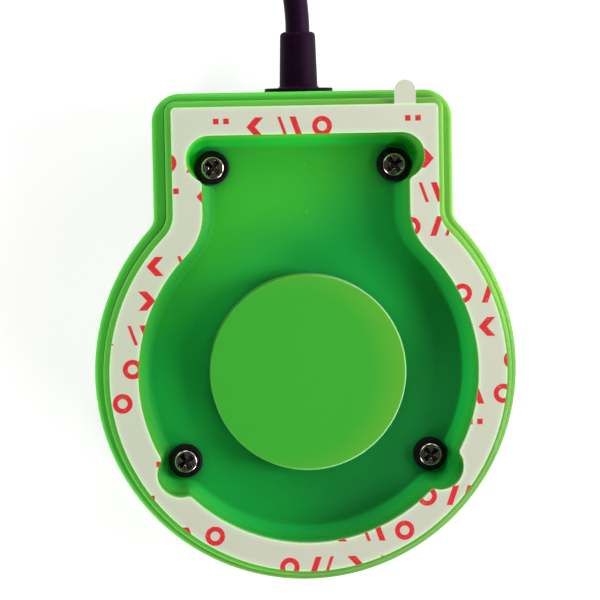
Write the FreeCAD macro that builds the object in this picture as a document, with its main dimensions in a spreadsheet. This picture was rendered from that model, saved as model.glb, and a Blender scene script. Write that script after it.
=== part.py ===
import FreeCAD, Part
import math
import os
import re
import Sketcher

# Tank level sensor, lying on the crown of its cover with the adhesive face up.
# Millimetres. The origin is on the axis of the round body, on the crown's resting face.
# +Z is the outward normal of the adhesive face, +Y points to the neck where the cable leaves.

Vector = FreeCAD.Vector
Rotation = FreeCAD.Rotation
Placement = FreeCAD.Placement

# Levels of the two shells, measured up from the crown
ledge_level = 25.0  # open edge of the cover, seen as the outer ledge
rim_level = 30.0  # top of the base's rim, which carries the tape
floor_level = 23.0  # floor of the recess in the base
lens_level = 28.5  # flat face of the lens
crown_thickness = 2.5  # thickness of the cover's crown
cover_taper = 2.6  # how far the cover's wall leans in from its edge to its crown
crown_round = 6.0  # rounding of the cover's crown edge
inner_round = 3.5  # rounding inside the cover's crown edge
ledge_round = 0.9  # rounding of the cover's open edge

# Outline of the cover: a circle with a neck
outer_radius = 43.8  # cover: radius of the round body
outer_half_width = 31.0  # cover: half the width of the neck
neck_reach = 13.8  # cover: how far the neck reaches beyond the round body
outer_corner = 5.8  # cover: corner of the neck at the open edge
crown_corner = 9.0  # cover: corner of the neck at the crown
outer_blend = 3.5  # cover: hollow round where the neck meets the body

# Outline of the base's rim
ledge_width = 1.8  # ledge of the cover beside the rim: along the round body
side_ledge_width = 2.6  # ledge of the cover beside the rim: along the neck's sides
end_ledge_width = 1.7  # ledge of the cover beside the rim: along the neck's end
rim_corner = 2.2  # rim: corner of the neck
rim_blend = 5.2  # rim: hollow round where the neck meets the body
rim_round = 0.7  # rounding of the rim's top edge
base_wall = 2.2  # thickness of the base's walls
core_corner = 1.5  # corner of the hollow inside the base's walls
base_floor = 2.5  # thickness of the recess floor
shell_clearance = 0.1  # gap between the base's wall and the cover's lip

# Outline of the recess
rim_width = 7.1  # rim: width along the round body
side_rim_width = 7.2  # rim: width along the neck's sides
end_rim_width = 7.0  # rim: width along the neck's end
opening_blend = 12.0  # recess: hollow round where the neck meets the body
lobe_radius = 4.8  # recess: radius of the pocket beside each screw
upper_lobe_inset = 1.65  # recess: centres of the pockets in the neck, in from its sides
lower_lobe_inset = 1.6  # recess: centres of the pockets in the round body, in from its wall
lower_lobe_turn = 36.7  # recess: pockets in the round body, degrees below the level line
lobe_blend = 1.2  # recess: round where a pocket meets the wall
foot_round = 3.0  # recess: hollow round between wall and floor

# Adhesive tape and its release liner
tape_thickness = 1.1  # thickness of the adhesive foam tape
liner_thickness = 0.2  # thickness of the release liner
tape_margin = 1.25  # rim left bare outside the tape
tab_inset = 8.0  # pull tab: centre, in from the rim's side
tab_width = 4.4  # pull tab: width
tab_reach = 4.9  # pull tab: length beyond the liner's end
liner_travel = 30.0  # how far the liner is lifted off

# Screws that close the housing, driven from the recess
upper_screw_inset = 2.5  # cover screws in the neck, in from the recess's side
upper_screw_depth = 6.7  # cover screws in the neck, in from the recess's end
lower_screw_inset = 3.61  # cover screws in the round body, in from the recess's wall
lower_screw_turn = 35.57  # cover screws in the round body, degrees below the level line
screw_radius = 1.75  # cover screw: radius over the thread
screw_length = 14.0  # cover screw: length under the head
screw_head_radius = 3.5  # cover screw: radius of the pan head
screw_head_height = 2.3  # cover screw: height of the pan head
screw_head_round = 0.9  # cover screw: rounding of the pan head
head_gap = 0.35  # cover screw: gap round the head in its spot face
cross_span = 4.0  # cover screw: span of the cross recess
cross_slot = 0.95  # cover screw: width of a wing of the cross recess
cross_depth = 1.6  # cover screw: depth of the cross recess
fit_gap = 0.05  # gap round a fitted piece that doesn't move
seal_section = 1.1  # screw seal: diameter of the ring's section
boss_radius = 4.0  # screw boss in the cover: radius
boss_hole_floor = 7.0  # screw boss in the cover: level of the hole's end

# Gasket between cover and base
gasket_thickness = 0.8  # housing gasket: thickness
gasket_level = 20.2  # step in the cover that carries the gasket
gasket_width = 1.0  # housing gasket: width
step_width = 1.2  # width of the step that carries the gasket

# Lens in the floor of the recess
floor_width = 14.7  # floor of the recess between its wall and the lens
lens_edge = 0.25  # lens: rounding of the face's edge
lens_curve = 90.0  # lens: radius of the curved inner face
lens_apex = 16.8  # lens: lowest point of the curved inner face
lens_fit = 0.05  # gap round the lens in the floor
flange_width = 2.8  # lens: flange outside the round face
flange_step = 0.8  # lens: flange inside the round face
flange_thickness = 1.8  # lens: thickness of its flange
lens_seal_section = 1.2  # lens seal: diameter of the ring's section
lens_seal_offset = 1.7  # lens seal: centre line of the ring, outside the round face
ring_thickness = 1.5  # clamp ring: thickness
ring_step = 0.8  # clamp ring: its bore outside the lens's round face
ring_lap = 1.2  # clamp ring: its edge outside the lens's flange
ear_offset = 2.7  # clamp ring: centres of its ears, outside the lens's flange
ear_radius = 2.5  # clamp ring: radius of an ear
small_screw_radius = 1.1  # clamp and board screws: radius over the thread
small_head_radius = 2.0  # clamp and board screws: radius of the head
small_head_height = 1.4  # clamp and board screws: height of the head
small_slot = 0.6  # clamp and board screws: width of a wing of the cross recess
clamp_screw_length = 4.8  # clamp screw: length under the head

# Circuit board and what it carries
board_top = 14.5  # circuit board: level of the face towards the lens
board_thickness = 1.6  # circuit board: thickness
board_margin = 9.0  # circuit board: in from the rim's edge along the round part
board_side_margin = 5.9  # circuit board: in from the rim's edge along the neck's sides
board_gap = 3.3  # circuit board: from its end to the cable's jacket
board_corner = 2.0  # circuit board: corner radius
board_blend = 8.0  # circuit board: hollow round
boss_gap = 0.6  # circuit board: gap round a screw boss
pillar_radius = 3.0  # board pillar: radius
pillar_inset = 6.5  # board pillars, in from the board's sides
pillar_depth = 9.0  # board pillars towards the neck, in from the board's end
pillar_edge = 8.0  # board pillars away from the neck, in from the board's edge
board_screw_length = 6.0  # board screw: length under the head
chip_side = 6.5  # radar chip: side
chip_height = 1.0  # radar chip: height
solder_gap = 0.05  # gap between a part's body and the board

# Parts on the circuit board
processor_side = 7.0  # processor: side
radio_length = 15.0  # radio module: length
radio_width = 11.0  # radio module: width
radio_height = 2.4  # radio module: height
regulator_side = 6.0  # voltage regulator: side
regulator_height = 1.6  # voltage regulator: height
memory_length = 5.0  # memory chip: length
memory_width = 4.0  # memory chip: width
inductor_radius = 3.5  # power inductor: radius
inductor_height = 4.0  # power inductor: height
capacitor_radius = 3.15  # power capacitors: radius
capacitor_height = 6.5  # power capacitors: height
header_length = 8.0  # wire header: length
header_half_width = 5.2  # wire header: half its width
header_height = 5.0  # wire header: height
header_distance = 16.9  # wire header: from its closed end to the cable's jacket
plug_half_width = 4.4  # wire plug: half its width
plug_length = 7.0  # wire plug: length
plug_height = 3.8  # wire plug: height
header_wall = 0.6  # wire header: wall under the plug
resistor_length = 2.0  # small parts: length
resistor_width = 1.25  # small parts: width
resistor_height = 0.6  # small parts: height
processor_x = -9.0  # processor: place across
processor_y = 4.0  # processor: place along
radio_x = 9.0  # radio module: place across
radio_y = 10.0  # radio module: place along
regulator_x = 12.0  # voltage regulator: place across
regulator_y = -7.0  # voltage regulator: place along
memory_x = -19.0  # memory chip: place across
memory_y = -6.0  # memory chip: place along
inductor_x = 21.0  # power inductor: place across
inductor_y = -1.0  # power inductor: place along
capacitor_x = 6.0  # power capacitors: place across
capacitor_edge = 14.0  # power capacitors: in from the board's edge
small_part_x = -17.0  # small parts: place across of the first one
small_part_y = 22.0  # small parts: place along of the first one
small_part_step = 4.0  # small parts: distance across
small_part_row = 2.5  # small parts: distance along

# Cable and its moulded boot
cable_radius = 2.5  # cable: radius of the jacket
exit_level = 15.5  # cable: level where it leaves the housing
boot_inset = 0.2  # boot: outer face of its seat, in from the cover's end
seat_depth = 4.2  # boot: thickness of the seat
seat_half_width = 8.5  # boot: half the width of the seat
seat_half_height = 8.0  # boot: half the height of the seat
boot_length = 12.5  # boot: length outside the seat
boot_base_radius = 3.95  # boot: radius at the flange
boot_tip_radius = 3.65  # boot: radius at the tip
boot_flange_radius = 7.1  # boot: radius of the outer flange
boot_flange_thickness = 0.9  # boot: thickness of the outer flange
boot_inner_radius = 5.0  # boot: radius of the inner flange
boot_inner_thickness = 1.2  # boot: thickness of the inner flange
boot_tail = 3.0  # boot: length of the tail inside the housing
boot_neck_radius = 4.2  # boot: radius where it passes through the seat
lead_reach = 3.3  # cable: jacket inside the housing beyond the middle of its clamp
wire_radius = 0.5  # core wire: radius
wire_pitch = 2.0  # core wires: pitch in their plug
clamp_distance = 11.8  # cable clamp: from its middle to the boot's seat
clamp_length = 4.6  # cable clamp: length along the cable
clamp_half_width = 8.6  # cable clamp: half its width
clamp_ear = 2.4  # cable clamp: thickness of its ears
clamp_wall = 1.6  # cable clamp: wall over the cable
clamp_screw_x = 6.3  # cable clamp: screws, off the centre line

# Free cable: coil and connector
coil_pitch = 5.45  # coil: distance between turns and between layers
coil_layer_turns = 3.75  # coil: number of turns in a layer
coil_outer = 40.2  # coil: radius of the outer turn's centre line
tie_thickness = 0.5  # coil tie: thickness of the strap
tie_width = 4.0  # coil tie: width of the strap
tie_slack = 0.3  # coil tie: gap beside the turns
tie_gap = 0.1  # coil tie: gap above and below the turns
tie_round = 1.5  # coil tie: inner corner
coil_start_x = -4.2  # coil: place across where it starts
coil_distance = 54.1  # coil: from the boot's tip to where it starts and ends
coil_straight = 5.0  # coil: straight length at either end
grip_taper = 13.0  # connector: length of the grip's tapered part
grip_length = 24.0  # connector: length of the moulded grip
grip_radius = 4.8  # connector: radius of the moulded grip
grip_neck = 3.4  # connector: radius where the cable enters
nut_radius = 5.0  # connector: radius of the knurled ring
nut_length = 8.0  # connector: length of the knurled ring
thread_radius = 4.0  # connector: radius over the thread
thread_length = 5.5  # connector: length of the thread
carrier_radius = 3.1  # connector: radius of the contact carrier
nut_fit = 0.05  # connector: gap between the ring and the carrier
nut_play = 0.3  # connector: play of the ring along and round its snap ridge
knurl_radius = 0.35  # connector: radius of a groove of the ring
knurl_count = 20  # connector: number of grooves of the ring
ridge_radius = 3.5  # connector: radius of the carrier's snap ridge
ridge_width = 0.7  # connector: width of the carrier's snap ridge
thread_recess = 4.2  # connector: depth of the carrier's face in the thread
pin_radius = 0.5  # connector: radius of a contact pin
pin_circle = 1.75  # connector: radius of the circle of pins
pin_reach = 3.6  # connector: how far a pin stands out of the carrier

# Each number above goes into the document's sheet under its own name
sizes = {name: value for name, value in list(vars().items()) if isinstance(value, (int, float))}

# Sizes and places that follow from the numbers above
follow = {
    "outer_end": "outer_radius + neck_reach",
    "rim_radius": "outer_radius - ledge_width",
    "rim_half_width": "outer_half_width - side_ledge_width",
    "rim_end": "outer_end - end_ledge_width",
    "tab_x": "rim_half_width - tab_inset",
    "opening_radius": "rim_radius - rim_width",
    "opening_half_width": "rim_half_width - side_rim_width",
    "opening_end": "rim_end - end_rim_width",
    "upper_lobe_x": "opening_half_width - upper_lobe_inset",
    "lower_lobe_x": "(opening_radius - lower_lobe_inset) * cos(lower_lobe_turn)",
    "lower_lobe_y": "(opening_radius - lower_lobe_inset) * sin(lower_lobe_turn)",
    "upper_screw_x": "opening_half_width - upper_screw_inset",
    "upper_screw_y": "opening_end - upper_screw_depth",
    "lower_screw_x": "(opening_radius - lower_screw_inset) * cos(lower_screw_turn)",
    "lower_screw_y": "(opening_radius - lower_screw_inset) * sin(lower_screw_turn)",
    "lens_radius": "opening_radius - floor_width",
    "flange_radius": "lens_radius + flange_width",
    "flange_inner": "lens_radius - flange_step",
    "lens_seal_radius": "lens_radius + lens_seal_offset",
    "ring_inner": "lens_radius + ring_step",
    "ring_outer": "flange_radius + ring_lap",
    "ear_distance": "flange_radius + ear_offset",
    "boot_face": "outer_end - boot_inset",
    "clamp_y": "boot_face - clamp_distance",
    "lead_end": "clamp_y - lead_reach",
    "header_front": "lead_end - header_distance",
    "board_radius": "rim_radius - board_margin",
    "board_half_width": "rim_half_width - board_side_margin",
    "board_end": "lead_end - board_gap",
    "pillar_x": "board_half_width - pillar_inset",
    "upper_pillar_y": "board_end - pillar_depth",
    "lower_pillar_y": "board_radius - pillar_edge",
    "capacitor_y": "capacitor_edge - board_radius",
}
aliases = list(sizes) + list(follow)
doc = FreeCAD.newDocument("TankLevelSensor")
sheet = doc.addObject("Spreadsheet::Sheet", "Dims")
for row, name in enumerate(aliases, 1):
    sheet.set("A%d" % row, name)
    sheet.set("B%d" % row, "=" + follow[name] if name in follow else str(sizes[name]))
    sheet.setAlias("B%d" % row, name)
doc.recompute()
nodes = []


def bound(expression):
    """The expression with each alias written as a cell of the sheet."""
    return re.sub(r"[a-z_]{2,}", lambda m: "Dims." + m.group() if m.group() in aliases else m.group(), expression)


def number(expression):
    """The value of an expression on the driving dimensions."""
    return float(sheet.evalExpression(bound(str(expression))))


def bind(item, sizes):
    """Ties properties of an object to expressions."""
    for path, expression in sizes.items():
        item.setExpression(path, bound(expression))


def set_place(item, place, turn=Rotation()):
    """Ties an object's position to three expressions and sets its rotation."""
    item.Placement = Placement(Vector(*[number(part) for part in place]), turn)
    for axis, expression in zip("xyz", place):
        item.setExpression("Placement.Base." + axis, bound(expression))


TO_BACK = Rotation(Vector(1, 0, 0), -90)
TO_DOWN = Rotation(Vector(1, 0, 0), 180)


def new_body(label, is_node=True):
    """A body of its own for one sub-part."""
    body = doc.addObject("PartDesign::Body", label)
    body.Label = label
    if is_node:
        nodes.append(body)
    return body


def primitive(body, kind, name, sizes, place, turn=Rotation()):
    """A cylinder, box or other simple feature, added to or cut from a body."""
    item = body.newObject("PartDesign::" + kind, name)
    bind(item, sizes)
    set_place(item, place, turn)
    return item


def add_cylinder(body, name, radius, height, place, turn=Rotation()):
    return primitive(body, "AdditiveCylinder", name, {"Radius": radius, "Height": height}, place, turn)


def cut_cylinder(body, name, radius, height, place, turn=Rotation()):
    return primitive(body, "SubtractiveCylinder", name, {"Radius": radius, "Height": height}, place, turn)


def add_box(body, name, length, width, height, place, turn=Rotation()):
    sizes = {"Length": length, "Width": width, "Height": height}
    return primitive(body, "AdditiveBox", name, sizes, place, turn)


def cut_box(body, name, length, width, height, place, turn=Rotation()):
    sizes = {"Length": length, "Width": width, "Height": height}
    return primitive(body, "SubtractiveBox", name, sizes, place, turn)


def plane(body, role):
    """One of the body's own origin planes."""
    return next(item for item in body.Origin.OriginFeatures if item.Role == role)


def new_sketch(body, name, role, level="0"):
    """A sketch on an origin plane of the body, lifted to a level along the plane's normal."""
    sketch = body.newObject("Sketcher::SketchObject", name)
    sketch.AttachmentSupport = (plane(body, role), "")
    sketch.MapMode = "FlatFace"
    sketch.AttachmentOffset = Placement(Vector(0, 0, number(level)), Rotation())
    sketch.setExpression("AttachmentOffset.Base.z", bound(level))
    return sketch


def add_size(sketch, name, expression, *place):
    """A named dimension in a sketch, tied to an expression."""
    index = sketch.addConstraint(Sketcher.Constraint(*place, number(expression)))
    sketch.renameConstraint(index, name)
    sketch.setExpression("Constraints." + name, bound(expression))


def keyhole_sketch(body, name, level, outline):
    """A circle with a neck: radius, half width and end of the neck, its corner, and the hollow blend."""
    sketch = new_sketch(body, name, "XY_Plane", level)
    radius, half, end, corner, blend = [number(part) for part in outline]
    blend_y = math.sqrt((radius + blend) ** 2 - (half + blend) ** 2)
    meet = math.atan2(blend_y, half + blend)
    up = Vector(0, 0, 1)

    def arc(x, y, size_, first, last):
        return Part.ArcOfCircle(Part.Circle(Vector(x, y, 0), up, size_), first, last)

    def line(x1, y1, x2, y2):
        return Part.LineSegment(Vector(x1, y1, 0), Vector(x2, y2, 0))

    pi = math.pi
    sketch.addGeometry([
        arc(0, 0, radius, pi - meet, 2 * pi + meet),
        arc(half + blend, blend_y, blend, pi, pi + meet),
        line(half, blend_y, half, end - corner),
        arc(half - corner, end - corner, corner, 0, pi / 2),
        line(half - corner, end, corner - half, end),
        arc(corner - half, end - corner, corner, pi / 2, pi),
        line(-half, end - corner, -half, blend_y),
        arc(-half - blend, blend_y, blend, 2 * pi - meet, 2 * pi),
    ], False)
    joints = [(0, 2, 1, 2), (1, 1, 2, 1), (2, 2, 3, 1), (3, 2, 4, 1), (4, 2, 5, 1), (5, 2, 6, 1),
              (6, 2, 7, 2), (7, 1, 0, 1)]
    rules = [Sketcher.Constraint("Tangent", *joint) for joint in joints]
    rules.append(Sketcher.Constraint("Coincident", 0, 3, -1, 1))
    rules.append(Sketcher.Constraint("Vertical", 2))
    rules.append(Sketcher.Constraint("Horizontal", 4))
    rules.append(Sketcher.Constraint("Equal", 1, 7))
    rules.append(Sketcher.Constraint("Equal", 3, 5))
    rules.append(Sketcher.Constraint("Symmetric", 2, 1, 6, 2, -2))
    sketch.addConstraint(rules)
    add_size(sketch, "radius", outline[0], "Radius", 0)
    add_size(sketch, "half_width", outline[1], "DistanceX", -1, 1, 2, 1)
    add_size(sketch, "end", outline[2], "DistanceY", -1, 1, 4, 1)
    add_size(sketch, "corner", outline[3], "Radius", 3)
    add_size(sketch, "blend", outline[4], "Radius", 1)
    return sketch


def polygon_sketch(body, name, role, corners, level="0"):
    """A closed outline of straight lines whose corners are pairs of expressions."""
    sketch = new_sketch(body, name, role, level)
    points = [Vector(number(x), number(y), 0) for x, y in corners]
    count = len(points)
    sketch.addGeometry([Part.LineSegment(points[i], points[(i + 1) % count]) for i in range(count)], False)
    sketch.addConstraint([Sketcher.Constraint("Coincident", i, 2, (i + 1) % count, 1) for i in range(count)])
    for i, corner in enumerate(corners):
        for axis, expression in zip("XY", corner):
            if expression == "0":
                line = -2 if axis == "X" else -1
                sketch.addConstraint(Sketcher.Constraint("PointOnObject", i, 1, line))
            else:
                add_size(sketch, "%s%d" % ("across" if axis == "X" else "along", i), expression,
                         "Distance" + axis, -1, 1, i, 1)
    return sketch


def pad(body, name, sketch, length):
    item = body.newObject("PartDesign::Pad", name)
    item.Profile = sketch
    bind(item, {"Length": length})
    return item


def pocket(body, name, sketch, length):
    item = body.newObject("PartDesign::Pocket", name)
    item.Profile = sketch
    bind(item, {"Length": length})
    return item


def loft(body, name, kind, first, second):
    """A ruled loft between two outlines, added to the body or cut from it."""
    item = body.newObject("PartDesign::" + kind, name)
    item.Profile = first
    item.Sections = [second]
    item.Ruled = True
    return item


def turned(label, corners, is_node=True):
    """A body turned about its own Z axis from pairs of radius and height."""
    body = new_body(label, is_node)
    sketch = polygon_sketch(body, label + "_profile", "XZ_Plane", corners)
    item = body.newObject("PartDesign::Revolution", label + "_turned")
    item.Profile = sketch
    item.ReferenceAxis = (sketch, ["V_Axis"])
    item.Angle = 360
    return body


def round_edges(body, name, radius, chosen):
    """Rounds those edges of the body so far that the test picks."""
    doc.recompute()
    base = body.Tip
    edges = ["Edge%d" % (i + 1) for i, edge in enumerate(base.Shape.Edges) if chosen(edge)]
    item = body.newObject("PartDesign::Fillet", name)
    item.Base = (base, edges)
    bind(item, {"Radius": radius})
    return item


def at_level(edge, level):
    """Whether the whole edge lies at one level."""
    box = edge.BoundBox
    return abs(box.ZMin - level) < 1e-3 and abs(box.ZMax - level) < 1e-3


def on_outline(edge, sketch, level):
    """Whether the edge lies at a level and, seen from above, on the outline of a sketch."""
    if not at_level(edge, number(level)):
        return False
    middle = edge.valueAt((edge.FirstParameter + edge.LastParameter) / 2)
    point = Part.Vertex(middle.x, middle.y, sketch.Shape.BoundBox.ZMin)
    return sketch.Shape.distToShape(point)[0] < 1e-3


def is_upright(edge):
    box = edge.BoundBox
    return box.XLength < 1e-3 and box.YLength < 1e-3 and box.ZLength > 1e-2


def grown(outline, amount):
    """The outline moved outwards: convex rounds get larger and the hollow one smaller."""
    radius, half, end, corner, blend = outline
    more = ["(%s) + (%s)" % (part, amount) for part in (radius, half, end, corner)]
    return more + ["(%s) - (%s)" % (blend, amount)]


def shrunk(outline, amount):
    return grown(outline, "-(%s)" % amount)


OUTER = ["outer_radius", "outer_half_width", "outer_end", "outer_corner", "outer_blend"]
RIM = ["rim_radius", "rim_half_width", "rim_end", "rim_corner", "rim_blend"]
TAPE = shrunk(RIM, "tape_margin")
BOARD = ["board_radius", "board_half_width", "board_end", "board_corner", "board_blend"]
SCREWS = [("upper_screw_x", "upper_screw_y"), ("-upper_screw_x", "upper_screw_y"),
          ("lower_screw_x", "-lower_screw_y"), ("-lower_screw_x", "-lower_screw_y")]
PILLARS = [("pillar_x", "upper_pillar_y"), ("-pillar_x", "upper_pillar_y"),
           ("pillar_x", "-lower_pillar_y"), ("-pillar_x", "-lower_pillar_y")]
EAR_TURNS = [45, 135, 225, 315]
EARS = [("ear_distance * cos(%d)" % turn, "ear_distance * sin(%d)" % turn) for turn in EAR_TURNS]
CLAMP_SCREWS = [("clamp_screw_x", "clamp_y"), ("-clamp_screw_x", "clamp_y")]


def tapered(outline, level):
    """The cover's outline at a level: it leans in towards the crown and its corners open out."""
    share = "((ledge_level - (%s)) / ledge_level)" % level
    radius, half, end, corner, blend = shrunk(outline, "cover_taper * " + share)
    corner = "outer_corner + (crown_corner - outer_corner) * " + share
    return [radius, half, end, corner, blend]


def inside_of_cover(level):
    """The inside of the cover's wall: in from the rim by the gasket's step, leaning as the outside does."""
    share = "((ledge_level - (%s)) / ledge_level)" % level
    outline = shrunk(RIM, "step_width + cover_taper * " + share)
    outline[3] = "core_corner + (crown_corner - outer_corner) * " + share
    return outline


# The recess: a short keyhole, a bar across the end of the neck and four round pockets
LOBE_Y = "opening_end - lobe_radius"
LOBES = [("upper_lobe_x", LOBE_Y), ("-upper_lobe_x", LOBE_Y),
         ("lower_lobe_x", "-lower_lobe_y"), ("-lower_lobe_x", "-lower_lobe_y")]


def recess_shape(body, name, adding, level, height, grow="0"):
    """Adds or cuts the recess's plan, grown by a wall, upwards from a level."""
    outline = grown(["opening_radius", "opening_half_width", LOBE_Y, "lobe_radius / 6", "opening_blend"], grow)
    sketch = keyhole_sketch(body, name + "_plan", level, outline)
    if adding:
        pad(body, name, sketch, height)
    else:
        item = pocket(body, name, sketch, height)
        item.Reversed = True
    make_box = add_box if adding else cut_box
    make_cylinder = add_cylinder if adding else cut_cylinder
    back = "opening_end + (%s)" % grow
    make_box(body, name + "_end", "2 * upper_lobe_x", "%s - opening_end / 2" % back, height,
             ("-upper_lobe_x", "opening_end / 2", level))
    for i, (x, y) in enumerate(LOBES):
        make_cylinder(body, "%s_lobe%d" % (name, i), "lobe_radius + (%s)" % grow, height, (x, y, level))


def lobe_corner(edge):
    """Whether an upright edge is a corner between a pocket and the recess's wall."""
    if not is_upright(edge):
        return False
    x, y = edge.Vertexes[0].X, edge.Vertexes[0].Y
    if abs(y - number("opening_end")) < 1e-3:
        return False
    reach = number("lobe_radius")
    return any(abs(math.hypot(x - number(a), y - number(b)) - reach) < 1e-3 for a, b in LOBES)


# Top cover: dome shell with the screw bosses, the boot's seat and the pedestal of the cable clamp
cover = new_body("top_cover")
edge_plan = keyhole_sketch(cover, "cover_edge_plan", "ledge_level", OUTER)
crown_plan = keyhole_sketch(cover, "cover_crown_plan", "0", tapered(OUTER, "0"))
loft(cover, "cover_outside", "AdditiveLoft", edge_plan, crown_plan)
round_edges(cover, "cover_crown_round", "crown_round", lambda edge: at_level(edge, 0))
inner_edge_plan = keyhole_sketch(cover, "cover_inner_edge_plan", "ledge_level", inside_of_cover("ledge_level"))
inner_crown = inside_of_cover("crown_thickness")
inner_crown_plan = keyhole_sketch(cover, "cover_inner_crown_plan", "crown_thickness", inner_crown)
loft(cover, "cover_inside", "SubtractiveLoft", inner_edge_plan, inner_crown_plan)
round_edges(cover, "cover_inner_round", "inner_round", lambda edge: at_level(edge, number("crown_thickness")))
add_box(cover, "boot_seat", "2 * seat_half_width", "seat_depth", "2 * seat_half_height",
        ("-seat_half_width", "boot_face - seat_depth", "exit_level - seat_half_height"))
lip_plan = keyhole_sketch(cover, "cover_lip_plan", "ledge_level", grown(RIM, "shell_clearance"))
pocket(cover, "cover_lip", lip_plan, "ledge_level - gasket_level")
BOSS_TOP = "floor_level - base_floor"
for i, (x, y) in enumerate(SCREWS):
    add_cylinder(cover, "screw_boss%d" % i, "boss_radius", BOSS_TOP + " - crown_thickness / 2",
                 (x, y, "crown_thickness / 2"))
    cut_cylinder(cover, "screw_boss_hole%d" % i, "screw_radius + fit_gap", "ledge_level - boss_hole_floor",
                 (x, y, "boss_hole_floor"))
PEDESTAL_TOP = "exit_level - cable_radius"
add_box(cover, "clamp_pedestal", "2 * clamp_half_width", "clamp_length", PEDESTAL_TOP + " - crown_thickness / 2",
        ("-clamp_half_width", "clamp_y - clamp_length / 2", "crown_thickness / 2"))
for i, (x, y) in enumerate(CLAMP_SCREWS):
    cut_cylinder(cover, "pedestal_hole%d" % i, "small_screw_radius + fit_gap", "board_screw_length",
                 (x, y, PEDESTAL_TOP + " + clamp_ear - board_screw_length - solder_gap"))
cut_cylinder(cover, "boot_hole", "boot_neck_radius + fit_gap", "4 * seat_depth",
             ("0", "boot_face - 2 * seat_depth", "exit_level"), TO_BACK)
round_edges(cover, "cover_ledge_round", "ledge_round", lambda edge: on_outline(edge, edge_plan, "ledge_level"))

# Base housing: rim, cored walls, recess with its screw pockets, lens hole, screw holes, board pillars
base = new_body("base_housing")
FLOOR_UNDER = "floor_level - base_floor"
WALL_FOOT = "gasket_level + gasket_thickness"
rim_plan = keyhole_sketch(base, "rim_plan", WALL_FOOT, RIM)
pad(base, "rim_block", rim_plan, "rim_level - (%s)" % WALL_FOOT)
core = shrunk(RIM, "base_wall")
core[3] = "core_corner"
core_plan = keyhole_sketch(base, "core_plan", "rim_level - base_floor", core)
pocket(base, "rim_core", core_plan, "rim_level")
recess_shape(base, "tub", True, FLOOR_UNDER, "rim_level - (%s)" % FLOOR_UNDER, "base_wall")
recess_shape(base, "recess", False, "floor_level", "rim_level")
round_edges(base, "recess_corner_round", "lobe_blend",
            lambda edge: lobe_corner(edge) and edge.BoundBox.ZMin > number("floor_level") - 0.01)
round_edges(base, "recess_foot_round", "foot_round", lambda edge: at_level(edge, number("floor_level")))
round_edges(base, "rim_edge_round", "rim_round", lambda edge: on_outline(edge, rim_plan, "rim_level"))
cut_cylinder(base, "lens_hole", "lens_radius + lens_fit", "3 * base_floor",
             ("0", "0", "floor_level - 2 * base_floor"))
SEAL_RADIUS = "screw_radius + fit_gap + seal_section / 2"
for i, (x, y) in enumerate(SCREWS):
    cut_cylinder(base, "screw_hole%d" % i, "screw_radius + fit_gap", "3 * base_floor",
                 (x, y, "floor_level - 2 * base_floor"))
    cut_cylinder(base, "seal_pocket%d" % i, SEAL_RADIUS + " + seal_section / 2 + fit_gap",
                 "seal_section + foot_round",
                 (x, y, "floor_level - seal_section"))
    cut_cylinder(base, "spot_face%d" % i, "screw_head_radius + head_gap", "2 * foot_round", (x, y, "floor_level"))
for i, (x, y) in enumerate(PILLARS):
    add_cylinder(base, "board_pillar%d" % i, "pillar_radius", FLOOR_UNDER + " + base_floor / 2 - board_top",
                 (x, y, "board_top"))
    cut_cylinder(base, "pillar_hole%d" % i, "small_screw_radius + fit_gap", "board_screw_length",
                 (x, y, "board_top - board_thickness + fit_gap"))
FLANGE_UNDER = FLOOR_UNDER + " - flange_thickness"
for i, (x, y) in enumerate(EARS):
    add_cylinder(base, "ear_boss%d" % i, "ear_radius", "flange_thickness + base_floor / 2", (x, y, FLANGE_UNDER))
    cut_cylinder(base, "ear_hole%d" % i, "small_screw_radius + fit_gap",
                 "clamp_screw_length - ring_thickness + fit_gap",
                 (x, y, FLANGE_UNDER))

# Foam tape on the rim, and the liner on the tape with its pull tab


def taped(label, level, thickness):
    """A flat ring with the rim's outline outside and the recess's outline inside."""
    body = new_body(label)
    pad(body, label + "_sheet", keyhole_sketch(body, label + "_plan", level, TAPE), thickness)
    recess_shape(body, label + "_window", False, "(%s) - 1" % level, "(%s) + 2" % thickness)
    round_edges(body, label + "_corner_round", "lobe_blend", lobe_corner)
    return body


TAPE_TOP = "rim_level + tape_thickness"
tape = taped("adhesive_tape", "rim_level", "tape_thickness")
liner = taped("release_liner", TAPE_TOP, "liner_thickness")
TAPE_END = "rim_end - tape_margin"
add_box(liner, "pull_tab", "tab_width", "tab_reach", "liner_thickness",
        ("tab_x - tab_width / 2", TAPE_END + " - tab_width / 2", TAPE_TOP))
add_cylinder(liner, "pull_tab_end", "tab_width / 2", "liner_thickness",
             ("tab_x", TAPE_END + " + tab_reach - tab_width / 2", TAPE_TOP))

# Gasket between the cover's step and the foot of the base's wall
gasket = new_body("housing_gasket")
pad(gasket, "gasket_ring", keyhole_sketch(gasket, "gasket_outer", "gasket_level", RIM), "gasket_thickness")
gasket_inner = keyhole_sketch(gasket, "gasket_inner", "gasket_level", shrunk(RIM, "gasket_width"))
pocket(gasket, "gasket_window", gasket_inner, "gasket_thickness").Reversed = True

# Lens: flat face in the recess, curved face towards the radar chip, flange with a groove for its seal


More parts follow.
